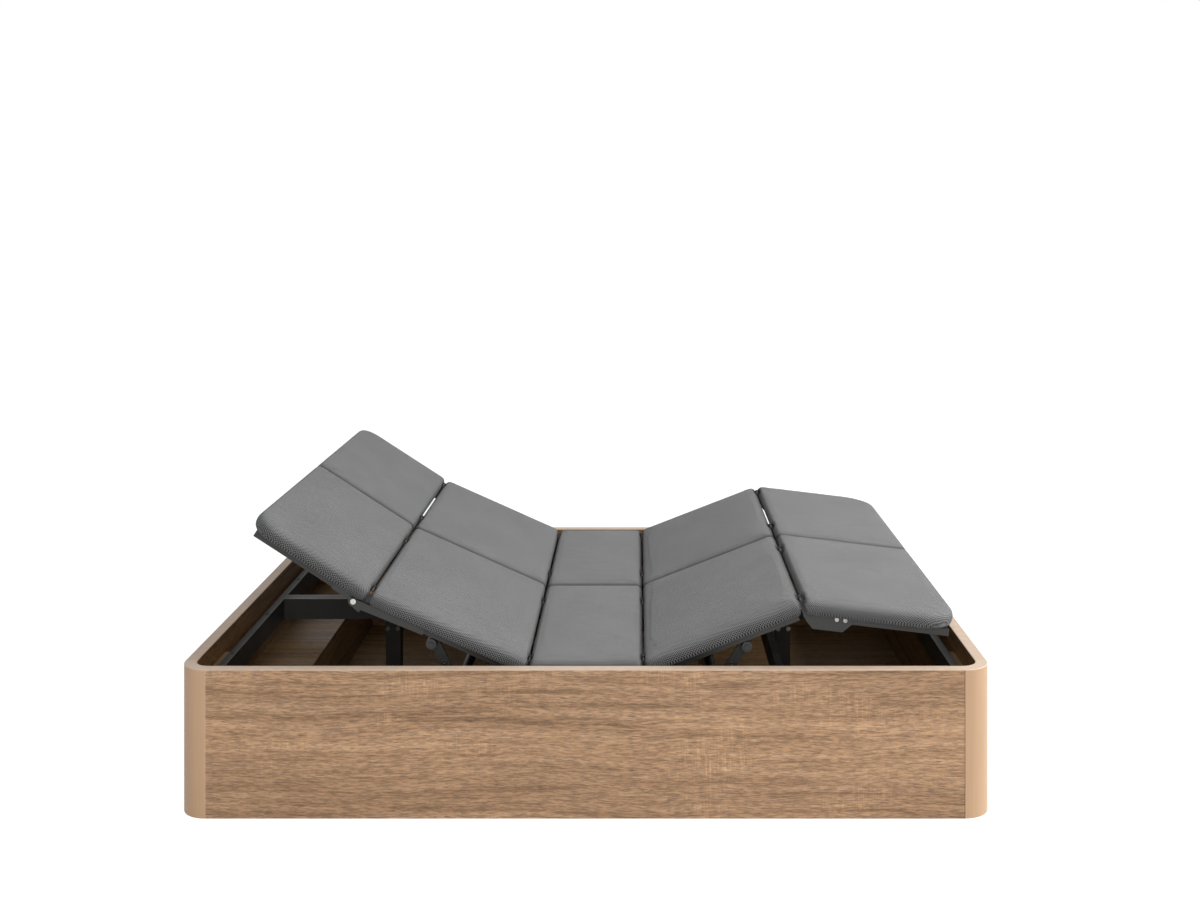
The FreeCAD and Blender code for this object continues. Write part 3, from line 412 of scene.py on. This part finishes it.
@dataclass(frozen=True)
class SpeckleFinish(Finish):
    """Coated, plated, drawn or moulded surface."""

    name: str
    tone: Colour
    rough: float
    metal: float
    grain: float
    depth: float

    def material(self, effects: Effects) -> bpy.types.Material:
        """Make the material."""
        made, graph, shader, place, _ = self.start(self.name)
        coat = graph.use(effects.speckle, Vector=place, Color=self.tone, Grain=self.grain, Roughness=self.rough)
        graph.put(shader.inputs["Base Color"], coat.outputs["Color"])
        graph.put(shader.inputs["Roughness"], coat.outputs["Roughness"])
        graph.put(shader.inputs["Metallic"], self.metal)
        graph.put(shader.inputs["Normal"], graph.bump(coat.outputs["Height"], self.depth, 0.5))
        return made


@dataclass(frozen=True)
class BareWoodFinish(Finish):
    """Plain sanded or sawn wood without decor."""

    name: str
    tone: Colour
    dark: Colour

    def material(self, effects: Effects) -> bpy.types.Material:
        """Make the material."""
        made, graph, shader, place, _ = self.start(self.name)
        streak = graph.noise(graph.stretch(place, (60.0, 2.4, 60.0)), 1.0, 5.0, 0.6, 0.4)
        fibre = graph.noise(graph.stretch(place, (400.0, 12.0, 400.0)), 1.0, 3.0)
        tone = graph.mix(graph.between(streak, 0.35, 0.65), self.dark, self.tone)
        graph.put(shader.inputs["Base Color"], graph.scale(tone, graph.between(fibre, 0.3, 0.7, 0.9, 1.08)))
        graph.put(shader.inputs["Roughness"], graph.between(streak, 0.3, 0.7, 0.75, 0.62))
        graph.put(shader.inputs["Normal"], graph.bump(fibre, 0.0003, 0.4))
        return made


@dataclass(frozen=True)
class ClothFinish(Finish):
    """Grey spacer mesh stretched over the pads, with painted shade from the pads' "shade" attribute."""

    name: str
    yarn: Colour
    opening: Colour
    pitch: float
    depth: float

    def material(self, effects: Effects) -> bpy.types.Material:
        """Make the material."""
        made, graph, shader, _, _ = self.start(self.name)
        layout = graph.add("ShaderNodeUVMap", uv_map="cloth")
        mesh = graph.use(effects.cloth, Vector=layout.outputs[0], Pitch=self.pitch, Yarn=self.yarn,
                         Opening=self.opening)
        # The "shade" attribute is painted shade of the seams and lower walls, multiplied into the cloth colour.
        shade = graph.add("ShaderNodeAttribute", attribute_name="shade")
        graph.put(shader.inputs["Base Color"], graph.scale(mesh.outputs["Color"], shade.outputs["Fac"]))
        for socket, value in (("Roughness", 0.88), ("Sheen Weight", 0.18), ("Sheen Roughness", 0.45),
                              ("Specular IOR Level", 0.25)):
            graph.put(shader.inputs[socket], value)
        graph.put(shader.inputs["Normal"], graph.bump(mesh.outputs["Height"], self.depth, 0.7))
        return made


class Palette:
    """All finishes of the object as materials."""

    def __init__(self) -> None:
        """Make one material for each finish."""
        effects = Effects()
        oak = (srgb(186, 149, 115), srgb(166, 130, 97), srgb(118, 88, 61), srgb(214, 190, 168), 0.3585)
        # Boards inside the box: darker oak tones, partly their own colour and partly painted shade of the box's
        # inside.
        shelf_with_painted_shade = (srgb(132, 101, 62), srgb(112, 84, 50), srgb(78, 57, 33), srgb(132, 101, 62), 9.0)
        self.finishes: List[Finish] = [
            OakFinish("oak_long_panel", Grain.ALONG, *oak, inside=(0.966, 0.691)),
            OakFinish("oak_end_panel", Grain.ACROSS, *oak, inside=(0.966, 0.691)),
            OakFinish("oak_floor", Grain.ALONG, *shelf_with_painted_shade, flat=True, seam_at=9.0),
            OakFinish("oak_ledge", Grain.ACROSS, *shelf_with_painted_shade, flat=True, seam_at=9.0),
            OakFinish("oak_riser", Grain.ACROSS, *shelf_with_painted_shade, seam_at=9.0),
            PostFinish("post_foil", srgb(198, 162, 128), srgb(214, 190, 168), 0.3585),
            SpeckleFinish("graphite_coat", srgb(27, 26, 24), 0.5, 0.0, 900.0, 0.00015),
            SpeckleFinish("zinc_plate", srgb(186, 184, 178), 0.36, 1.0, 260.0, 0.0001),
            SpeckleFinish("yellow_zinc", srgb(118, 90, 56), 0.42, 1.0, 260.0, 0.0001),
            SpeckleFinish("black_oxide", srgb(26, 26, 25), 0.5, 0.0, 500.0, 0.0001),
            SpeckleFinish("black_nylon", srgb(40, 40, 40), 0.5, 0.0, 700.0, 0.0002),
            SpeckleFinish("drawn_aluminium", srgb(150, 151, 152), 0.36, 1.0, 420.0, 0.0001),
            SpeckleFinish("housing_plastic", srgb(34, 35, 36), 0.48, 0.0, 1200.0, 0.0003),
            BareWoodFinish("sanded_ply", srgb(92, 73, 50), srgb(70, 54, 36)),
            BareWoodFinish("sawn_pine", srgb(120, 95, 62), srgb(96, 72, 46)),
            ClothFinish("grey_spacer_mesh", srgb(160, 160, 161), srgb(24, 24, 25), 0.0052, 0.0009),
        ]
        self.made = {finish.name: finish.material(effects) for finish in self.finishes}

    def dress(self, piece: bpy.types.Object, finish: str) -> None:
        """Give every slot of a piece one finish."""
        if not piece.data.materials:
            piece.data.materials.append(self.made[finish])
        for index in range(len(piece.data.materials)):
            piece.data.materials[index] = self.made[finish]


@dataclass
class CarriedNodes:
    """Rigid CAD nodes that stay as they are and take a finish."""

    by_finish: Dict[str, Tuple[str, ...]]

    def dress(self, palette: Palette) -> None:
        """Give every listed node its finish."""
        for finish, names in self.by_finish.items():
            for name in names:
                palette.dress(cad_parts[name], finish)
                LOG.info("node %s: %s", name, finish)


@dataclass
class PadSection:
    """One upholstered section: a front and a rear pad that share a simulated shape.

    Lengths are in metres.  The tilt is in degrees, and outer_end is the sign of the end that has no
    neighbour, or 0.
    """

    name: str
    body: str
    tilt: float
    outer_end: int = 0
    fill: float = 0.85
    voxel: float = 0.006
    start_inset: float = 0.0008
    side_move: float = 0.0012
    crown_move: float = 0.004
    crown_reach: float = 0.16
    pressure: float = 4.0
    frames: int = 20
    weld: float = 0.00002
    under_lean: float = -0.35
    held_rise: float = 0.0036
    side_reach: float = 0.05
    # Painted shade: how much the seams and the walls are darkened in the colour, walls darker towards the bottom.
    seam_painted_shade: float = 0.85
    seam_lean: Tuple[float, float] = (0.985, 0.5)
    wall_painted_shade: Tuple[float, float] = (0.22, 0.4)
    wall_lean: Tuple[float, float] = (0.8, 0.6)

    def axes(self) -> Tuple[Vector, Vector]:
        """Direction along the section and direction out of its top."""
        turn = math.radians(self.tilt)
        return Vector((math.cos(turn), 0.0, -math.sin(turn))), Vector((math.sin(turn), 0.0, math.cos(turn)))

    def build(self, palette: Palette) -> List[bpy.types.Object]:
        """Make both pads.

        Args:
            palette: Source of the cloth.

        Returns:
            The front and the rear pad.
        """
        shape = self._cover(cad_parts[self.name + "_pad_front"].data)
        mirrored = shape.copy()
        work = bmesh.new()
        work.from_mesh(mirrored)
        bmesh.ops.scale(work, vec=(1.0, -1.0, 1.0), verts=work.verts)
        bmesh.ops.reverse_faces(work, faces=work.faces)
        work.to_mesh(mirrored)
        work.free()
        return [self._finish(shape, "front", palette), self._finish(mirrored, "rear", palette)]

    def _cover(self, solid: bpy.types.Mesh) -> bpy.types.Mesh:
        """Remeshed cover of a pad, drawn tight by a short cloth simulation.

        Args:
            solid: Mesh of the CAD pad.

        Returns:
            The mesh of the finished cover.
        """
        work = bmesh.new()
        work.from_mesh(solid)
        bmesh.ops.remove_doubles(work, verts=work.verts, dist=self.weld)
        bmesh.ops.recalc_face_normals(work, faces=work.faces)
        mesh = bpy.data.meshes.new(self.name + "_cover")
        work.to_mesh(mesh)
        work.free()
        piece = bpy.data.objects.new(self.name + "_cover", mesh)
        bpy.context.scene.collection.objects.link(piece)
        remesh = piece.modifiers.new("remesh", "REMESH")
        remesh.mode = "VOXEL"
        remesh.voxel_size = self.voxel
        self._apply(piece)
        along, up = self.axes()
        floor = min(vert.co.dot(up) for vert in piece.data.vertices)
        held, free = [], []
        for vert in piece.data.vertices:
            under = vert.normal.dot(up) < self.under_lean or vert.co.dot(up) < floor + self.held_rise
            (held if under else free).append(vert.index)
        for index in free:
            vert = piece.data.vertices[index]
            vert.co -= vert.normal * self.start_inset
        start = [(vert.co.copy(), vert.normal.copy()) for vert in piece.data.vertices]
        self._inflate(piece, held)
        plan = [(origin.dot(along), origin.y) for origin, _ in start]
        low = [min(spot[axis] for spot in plan) for axis in range(2)]
        high = [max(spot[axis] for spot in plan) for axis in range(2)]
        for vert, (origin, normal), spot in zip(piece.data.vertices, start, plan):
            inward = min(min(spot[axis] - low[axis], high[axis] - spot[axis]) for axis in range(2))
            level = min(1.0, inward / self.crown_reach)
            cap = self.side_move + (self.crown_move - self.side_move) * level * level * (3.0 - 2.0 * level)
            swell = (vert.co - origin).dot(normal)
            vert.co = origin + normal * min(max(swell, 0.0), cap)
        shape = piece.data
        bpy.data.objects.remove(piece)
        return shape

    def _inflate(self, piece: bpy.types.Object, held: Sequence[int]) -> None:
        """Swell a cover from inside with its underside held on the board."""
        group = piece.vertex_groups.new(name="held")
        group.add(list(held), 1.0, "REPLACE")
        cloth = piece.modifiers.new("cloth", "CLOTH")
        settings = cloth.settings
        settings.quality = 4
        settings.mass = 0.3
        settings.tension_stiffness = 25.0
        settings.compression_stiffness = 25.0
        settings.shear_stiffness = 12.0
        settings.bending_stiffness = 1.5
        settings.use_pressure = True
        settings.uniform_pressure_force = self.pressure
        settings.vertex_group_mass = group.name
        settings.effector_weights.gravity = 0.0
        cloth.collision_settings.use_collision = False
        cloth.point_cache.frame_end = self.frames
        scene = bpy.context.scene
        for number in range(1, self.frames + 1):
            scene.frame_set(number)
        self._apply(piece)
        scene.frame_set(1)
        piece.vertex_groups.clear()

    @staticmethod
    def _apply(piece: bpy.types.Object) -> None:
        """Make the result of a piece's modifiers its mesh."""
        shown = piece.evaluated_get(bpy.context.evaluated_depsgraph_get())
        mesh = bpy.data.meshes.new_from_object(shown)
        piece.modifiers.clear()
        piece.data = mesh

    def _finish(self, shape: bpy.types.Mesh, side: str, palette: Palette) -> bpy.types.Object:
        """Dress one pad and set it in the place of its CAD solid.

        Args:
            shape: Mesh of the cover.
            side: "front" or "rear".
            palette: Source of the cloth.

        Returns:
            The finished pad.
        """
        piece = bpy.data.objects.new("%s_cushion_%s" % (self.name, side), shape)
        bpy.context.scene.collection.objects.link(piece)
        self._lay_cloth(shape)
        shape.shade_smooth()
        smooth = piece.modifiers.new("smooth", "SUBSURF")
        smooth.levels = smooth.render_levels = 1
        shape.materials.clear()
        palette.dress(piece, "grey_spacer_mesh")
        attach(piece, self.body)
        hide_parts("%s_pad_%s" % (self.name, side))
        LOG.info("pad %s: %d faces", piece.name, len(shape.polygons))
        return piece

    def _lay_cloth(self, shape: bpy.types.Mesh) -> None:
        """Lay cloth coordinates over the pad and down its sides, and paint shade into its seams and down its walls.
        """
        along, up = self.axes()
        spots = [(vert.co.dot(along), vert.co.y, vert.co.dot(up)) for vert in shape.vertices]
        lows = [min(spot[axis] for spot in spots) for axis in range(3)]
        highs = [max(spot[axis] for spot in spots) for axis in range(3)]

        def side(value: float, low: float, high: float) -> float:
            """How far a point lies on a side, -1 at the low one and 1 at the high one."""
            if value - low < self.side_reach:
                return (value - low) / self.side_reach - 1.0
            return max(0.0, 1.0 - (high - value) / self.side_reach)

        layout = shape.uv_layers.get("cloth") or shape.uv_layers.new(name="cloth")
        places = []
        for u, v, w in spots:
            drop = highs[2] - w
            places.append((u + side(u, lows[0], highs[0]) * drop, v + side(v, lows[1], highs[1]) * drop))
        for loop in shape.loops:
            layout.data[loop.index].uv = places[loop.vertex_index]
        # Painted shade kept in the "shade" attribute: seam sides darkened, outer walls darker towards the bottom.
        shade = shape.attributes.new("shade", "FLOAT", "POINT")
        for vert, (_, y, w) in zip(shape.vertices, spots):
            drop = (highs[2] - w) / (highs[2] - lows[2])
            ahead = vert.normal.dot(along)
            if abs(ahead) > abs(vert.normal.y):
                in_seam = ahead * self.outer_end <= 0.0
            else:
                in_seam = vert.normal.y * y < 0.0
            start, spread = self.seam_lean if in_seam else self.wall_lean
            steep = min(1.0, max(0.0, (start - vert.normal.dot(up)) / spread))
            depth = self.seam_painted_shade if in_seam else self.wall_painted_shade[0] + self.wall_painted_shade[1] * drop
            shade.data[vert.index].value = 1.0 - steep * depth


@dataclass
class ScrewHeads:
    """Small screw heads on one flat face, all in one piece."""

    name: str
    body: str
    centres: Sequence[Vector]
    normal: Vector
    radius: float
    height: float
    finish: str
    slot: str
    segments: int = 20
    dome_share: float = 0.55
    rim_share: float = 0.25
    draft_share: float = 0.02
    recess_share: float = 0.5

    def build(self, palette: Palette) -> bpy.types.Object:
        """Make the heads.

        Args:
            palette: Source of the finish.

        Returns:
            The piece with all heads.
        """
        work = bmesh.new()
        turn = Vector((0.0, 0.0, 1.0)).rotation_difference(self.normal).to_matrix().to_4x4()
        for centre in self.centres:
            place = Matrix.Translation(centre) @ turn
            self._head(work, place)
        mesh = bpy.data.meshes.new(self.name)
        bmesh.ops.recalc_face_normals(work, faces=work.faces)
        work.to_mesh(mesh)
        work.free()
        mesh.shade_smooth()
        piece = bpy.data.objects.new(self.name, mesh)
        bpy.context.scene.collection.objects.link(piece)
        palette.dress(piece, self.finish)
        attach(piece, self.body)
        LOG.info("screws %s: %d", self.name, len(self.centres))
        return piece

    def _head(self, work: bmesh.types.BMesh, place: Matrix) -> None:
        """Add one domed head with a round drive recess."""
        made = bmesh.ops.create_cone(work, cap_ends=True, segments=self.segments, radius1=self.radius,
                                     radius2=self.radius, depth=self.height)
        verts = made["verts"]
        bmesh.ops.translate(work, vec=(0.0, 0.0, self.height / 2), verts=verts)
        top = [face for face in {f for v in verts for f in v.link_faces}
               if face.calc_center_median().z > self.height * 0.9]
        rim = list({edge for face in top for edge in face.edges})
        soft = bmesh.ops.bevel(work, geom=rim, offset=self.height * self.dome_share, offset_type="OFFSET",
                               segments=3, profile=0.5, affect="EDGES", material=-1)
        verts = list({v for v in verts if v.is_valid} | set(soft["verts"]))
        caps = [face for face in {f for v in verts for f in v.link_faces}
                if face.calc_center_median().z > self.height * 0.98 and len(face.verts) > 8]
        ring = bmesh.ops.inset_region(work, faces=caps, thickness=self.radius * self.rim_share, depth=0.0)
        sunk = bmesh.ops.inset_region(work, faces=caps, thickness=self.radius * self.draft_share,
                                      depth=-self.height * self.recess_share)
        for extra in (ring, sunk):
            verts += [v for face in extra["faces"] for v in face.verts]
        verts += [v for face in caps for v in face.verts]
        bmesh.ops.transform(work, matrix=place, verts=list(set(verts)))


class Fold:
    """Turns a point of the flat leg section to where the stored pose puts it: axes in metres, degrees."""

    THIGH = (Vector((0.14275, 0.0, 0.353)), -21.1)
    LEG = (Vector((0.56375, 0.0, 0.352)), 27.9)

    @staticmethod
    def turn(point: Vector, hinge: Tuple[Vector, float]) -> Vector:
        """Turn a point about one hinge."""
        axis, degrees = hinge
        spin = Matrix.Rotation(math.radians(degrees), 3, "Y")
        return axis + spin @ (point - axis)

    @classmethod
    def leg(cls, point: Vector) -> Vector:
        """Place of a point of the leg section."""
        return cls.turn(cls.turn(point, cls.LEG), cls.THIGH)


@dataclass
class Studio:
    """Floor, light and camera."""

    eye: Tuple[float, float, float] = (0.1275, -4.0246, 1.5069)
    lens: float = 40.758
    axis_column: float = 637.5
    axis_row: float = 199.2
    image: Tuple[int, int] = (1200, 898)
    sensor: float = 36.0
    floor_reach: float = 30.0
    floor_tone: float = 0.46
    floor_glow: float = 0.9
    fill: float = 0.27

    def build(self) -> None:
        """Make the whole studio."""
        scene = bpy.context.scene
        scene.view_settings.view_transform = "Standard"
        self._camera(scene)
        self._floor()
        self._world(scene)
        self._lamp("key_box", (4.8, -0.3, 3.1), (0.1, 0.0, 0.35), 2.2, 270.0)
        self._lamp("front_box", (0.3, -4.7, 2.2), (0.0, -0.6, 0.2), 2.0, 120.0)

    def _camera(self, scene: bpy.types.Scene) -> None:
        """Camera at the photograph's place."""
        data = bpy.data.cameras.new("camera")
        data.sensor_width = self.sensor
        data.sensor_fit = "HORIZONTAL"
        data.lens = self.lens
        data.shift_x = (self.image[0] / 2 - self.axis_column) / self.image[0]
        data.shift_y = (self.axis_row - self.image[1] / 2) / self.image[0]
        camera = bpy.data.objects.new("camera", data)
        scene.collection.objects.link(camera)
        camera.matrix_world = Matrix.Translation(self.eye) @ Matrix.Rotation(math.pi / 2, 4, "X")
        scene.camera = camera

    def _floor(self) -> None:
        """Pale floor that runs out of the picture."""
        work = bmesh.new()
        bmesh.ops.create_grid(work, x_segments=1, y_segments=1, size=self.floor_reach)
        mesh = bpy.data.meshes.new("studio_floor")
        work.to_mesh(mesh)
        work.free()
        piece = bpy.data.objects.new("studio_floor", mesh)
        bpy.context.scene.collection.objects.link(piece)
        made, graph, shader, _, _ = Finish.start("studio_floor")
        graph.put(shader.inputs["Base Color"], (self.floor_tone,) * 3)
        graph.put(shader.inputs["Roughness"], 0.9)
        graph.put(shader.inputs["Specular IOR Level"], 0.0)
        path = graph.add("ShaderNodeLightPath")
        seen = graph.calc("MAXIMUM", path.outputs["Is Camera Ray"], path.outputs["Is Glossy Ray"])
        glow = graph.add("ShaderNodeEmission")
        graph.put(glow.inputs["Color"], (1.0, 1.0, 1.0))
        graph.put(glow.inputs["Strength"], graph.calc("MULTIPLY", seen, self.floor_glow))
        both = graph.add("ShaderNodeAddShader")
        graph.put(both.inputs[0], shader.outputs[0])
        graph.put(both.inputs[1], glow.outputs[0])
        output = made.node_tree.nodes["Material Output"]
        graph.put(output.inputs["Surface"], both.outputs[0])
        mesh.materials.append(made)

    def _world(self, scene: bpy.types.Scene) -> None:
        """Even light all round, white where the camera or a gloss sees it."""
        world = bpy.data.worlds.new("studio")
        scene.world = world
        world.use_nodes = True
        graph = Graph(world.node_tree)
        back = world.node_tree.nodes["Background"]
        path = graph.add("ShaderNodeLightPath")
        seen = graph.calc("MAXIMUM", path.outputs["Is Camera Ray"],
                          graph.calc("MAXIMUM", path.outputs["Is Glossy Ray"], path.outputs["Is Transmission Ray"]))
        graph.put(back.inputs["Color"], (1.0, 1.0, 1.0))
        graph.put(back.inputs["Strength"], graph.calc("MULTIPLY_ADD", seen, 1.0 - self.fill, self.fill))

    @staticmethod
    def _lamp(name: str, place: Sequence[float], target: Sequence[float], size: float, power: float) -> None:
        """Square soft box that looks at a point."""
        data = bpy.data.lights.new(name, "AREA")
        data.shape = "SQUARE"
        data.size = size
        data.energy = power
        lamp = bpy.data.objects.new(name, data)
        bpy.context.scene.collection.objects.link(lamp)
        look = (Vector(target) - Vector(place)).to_track_quat("-Z", "Y")
        lamp.matrix_world = Matrix.Translation(place) @ look.to_matrix().to_4x4()


def carried_nodes() -> CarriedNodes:
    """Finish of every CAD node that stays in view."""
    return CarriedNodes({
        "oak_long_panel": ("front_panel", "rear_panel"),
        "oak_end_panel": ("head_panel", "foot_panel"),
        "oak_floor": ("floor_boards",),
        "oak_ledge": ("ledge_top",),
        "oak_riser": ("ledge_riser",),
        "post_foil": tuple("corner_post_%s_%s" % (side, end) for side in ("front", "rear")
                           for end in ("head", "foot")),
        "graphite_coat": ("chassis_end_rails", "chassis_side_rails", "chassis_twin_beam", "chassis_cross_rails",
                          "beam_legs", "seat_frame", "back_frame", "head_frame", "thigh_frame", "leg_frame",
                          "ratchet_plates", "ratchet_arms", "knee_plates", "leg_links", "back_lift_shaft",
                          "thigh_lift_shaft", "drive_saddles"),
        "zinc_plate": ("beam_leg_bolts", "ratchet_stop_pins", "link_foot_pins", "link_head_pins", "back_push_rod",
                       "thigh_push_rod"),
        "yellow_zinc": ("head_hinge_pins",),
        "black_oxide": ("seat_hinge_pins", "knee_pins"),
        "black_nylon": ("shaft_bushes", "back_lift_shoes", "thigh_lift_shoes"),
        "drawn_aluminium": ("drive_tubes",),
        "housing_plastic": ("drive_housings", "control_unit"),
        "sanded_ply": ("seat_boards", "back_boards", "head_boards", "thigh_boards", "leg_boards"),
        "sawn_pine": ("floor_bearers", "chassis_packers"),
    })


def pad_sections() -> Iterable[PadSection]:
    """The five upholstered sections and their stored tilts."""
    return (PadSection("head", "head", 32.9, -1), PadSection("back", "back", 24.0), PadSection("seat", "base", 0.0),
            PadSection("thigh", "thigh", -21.1), PadSection("leg", "leg", 6.8, 1))


def screw_sets() -> List[ScrewHeads]:
    """Screws of the knee plates, bolts of the lift levers and screws in the head end rail."""
    sets = []
    knee_x, knee_face, knee_z, knee_steps = 0.56375, 0.641, 0.319, (0.0924, 0.1136)
    lever_face, bolt_along = 0.601, 0.08
    rail_x, rail_top, rail_steps = -0.942, 0.308, (-0.435, -0.098, 0.26, 0.6)
    levers = (("back", Vector((-0.32275, 0.0, 0.27)), Vector((-0.4571, 0.0, 0.8894))),
              ("thigh", Vector((0.32075, 0.0, 0.27)), Vector((0.557, 0.0, 0.8305))))
    for side, word in ((-1.0, "front"), (1.0, "rear")):
        outward = Vector((0.0, side, 0.0))
        knee = [Fold.leg(Vector((knee_x + along, side * knee_face, knee_z))) for along in knee_steps]
        sets.append(ScrewHeads("knee_screws_" + word, "leg", knee, outward, 0.0055, 0.003, "zinc_plate",
                               "zinc_steel"))
        for name, shaft, reach in levers:
            bolt = [shaft + reach * bolt_along + outward * lever_face]
            sets.append(ScrewHeads("%s_lever_bolt_%s" % (name, word), name + "_shaft", bolt, outward, 0.007, 0.004,
                                   "black_oxide", "graphite_steel"))
    rail = [Vector((rail_x, y, rail_top)) for y in rail_steps]
    sets.append(ScrewHeads("head_rail_screws", "base", rail, Vector((0.0, 0.0, 1.0)), 0.005, 0.0014, "black_oxide",
                           "graphite_steel"))
    return sets


def main() -> None:
    """Build the studio and every piece."""
    logging.basicConfig(level=logging.INFO)
    Studio().build()
    palette = Palette()
    carried_nodes().dress(palette)
    for section in pad_sections():
        section.build(palette)
    for screws in screw_sets():
        screws.build(palette)


if __name__ == "__main__":
    main()
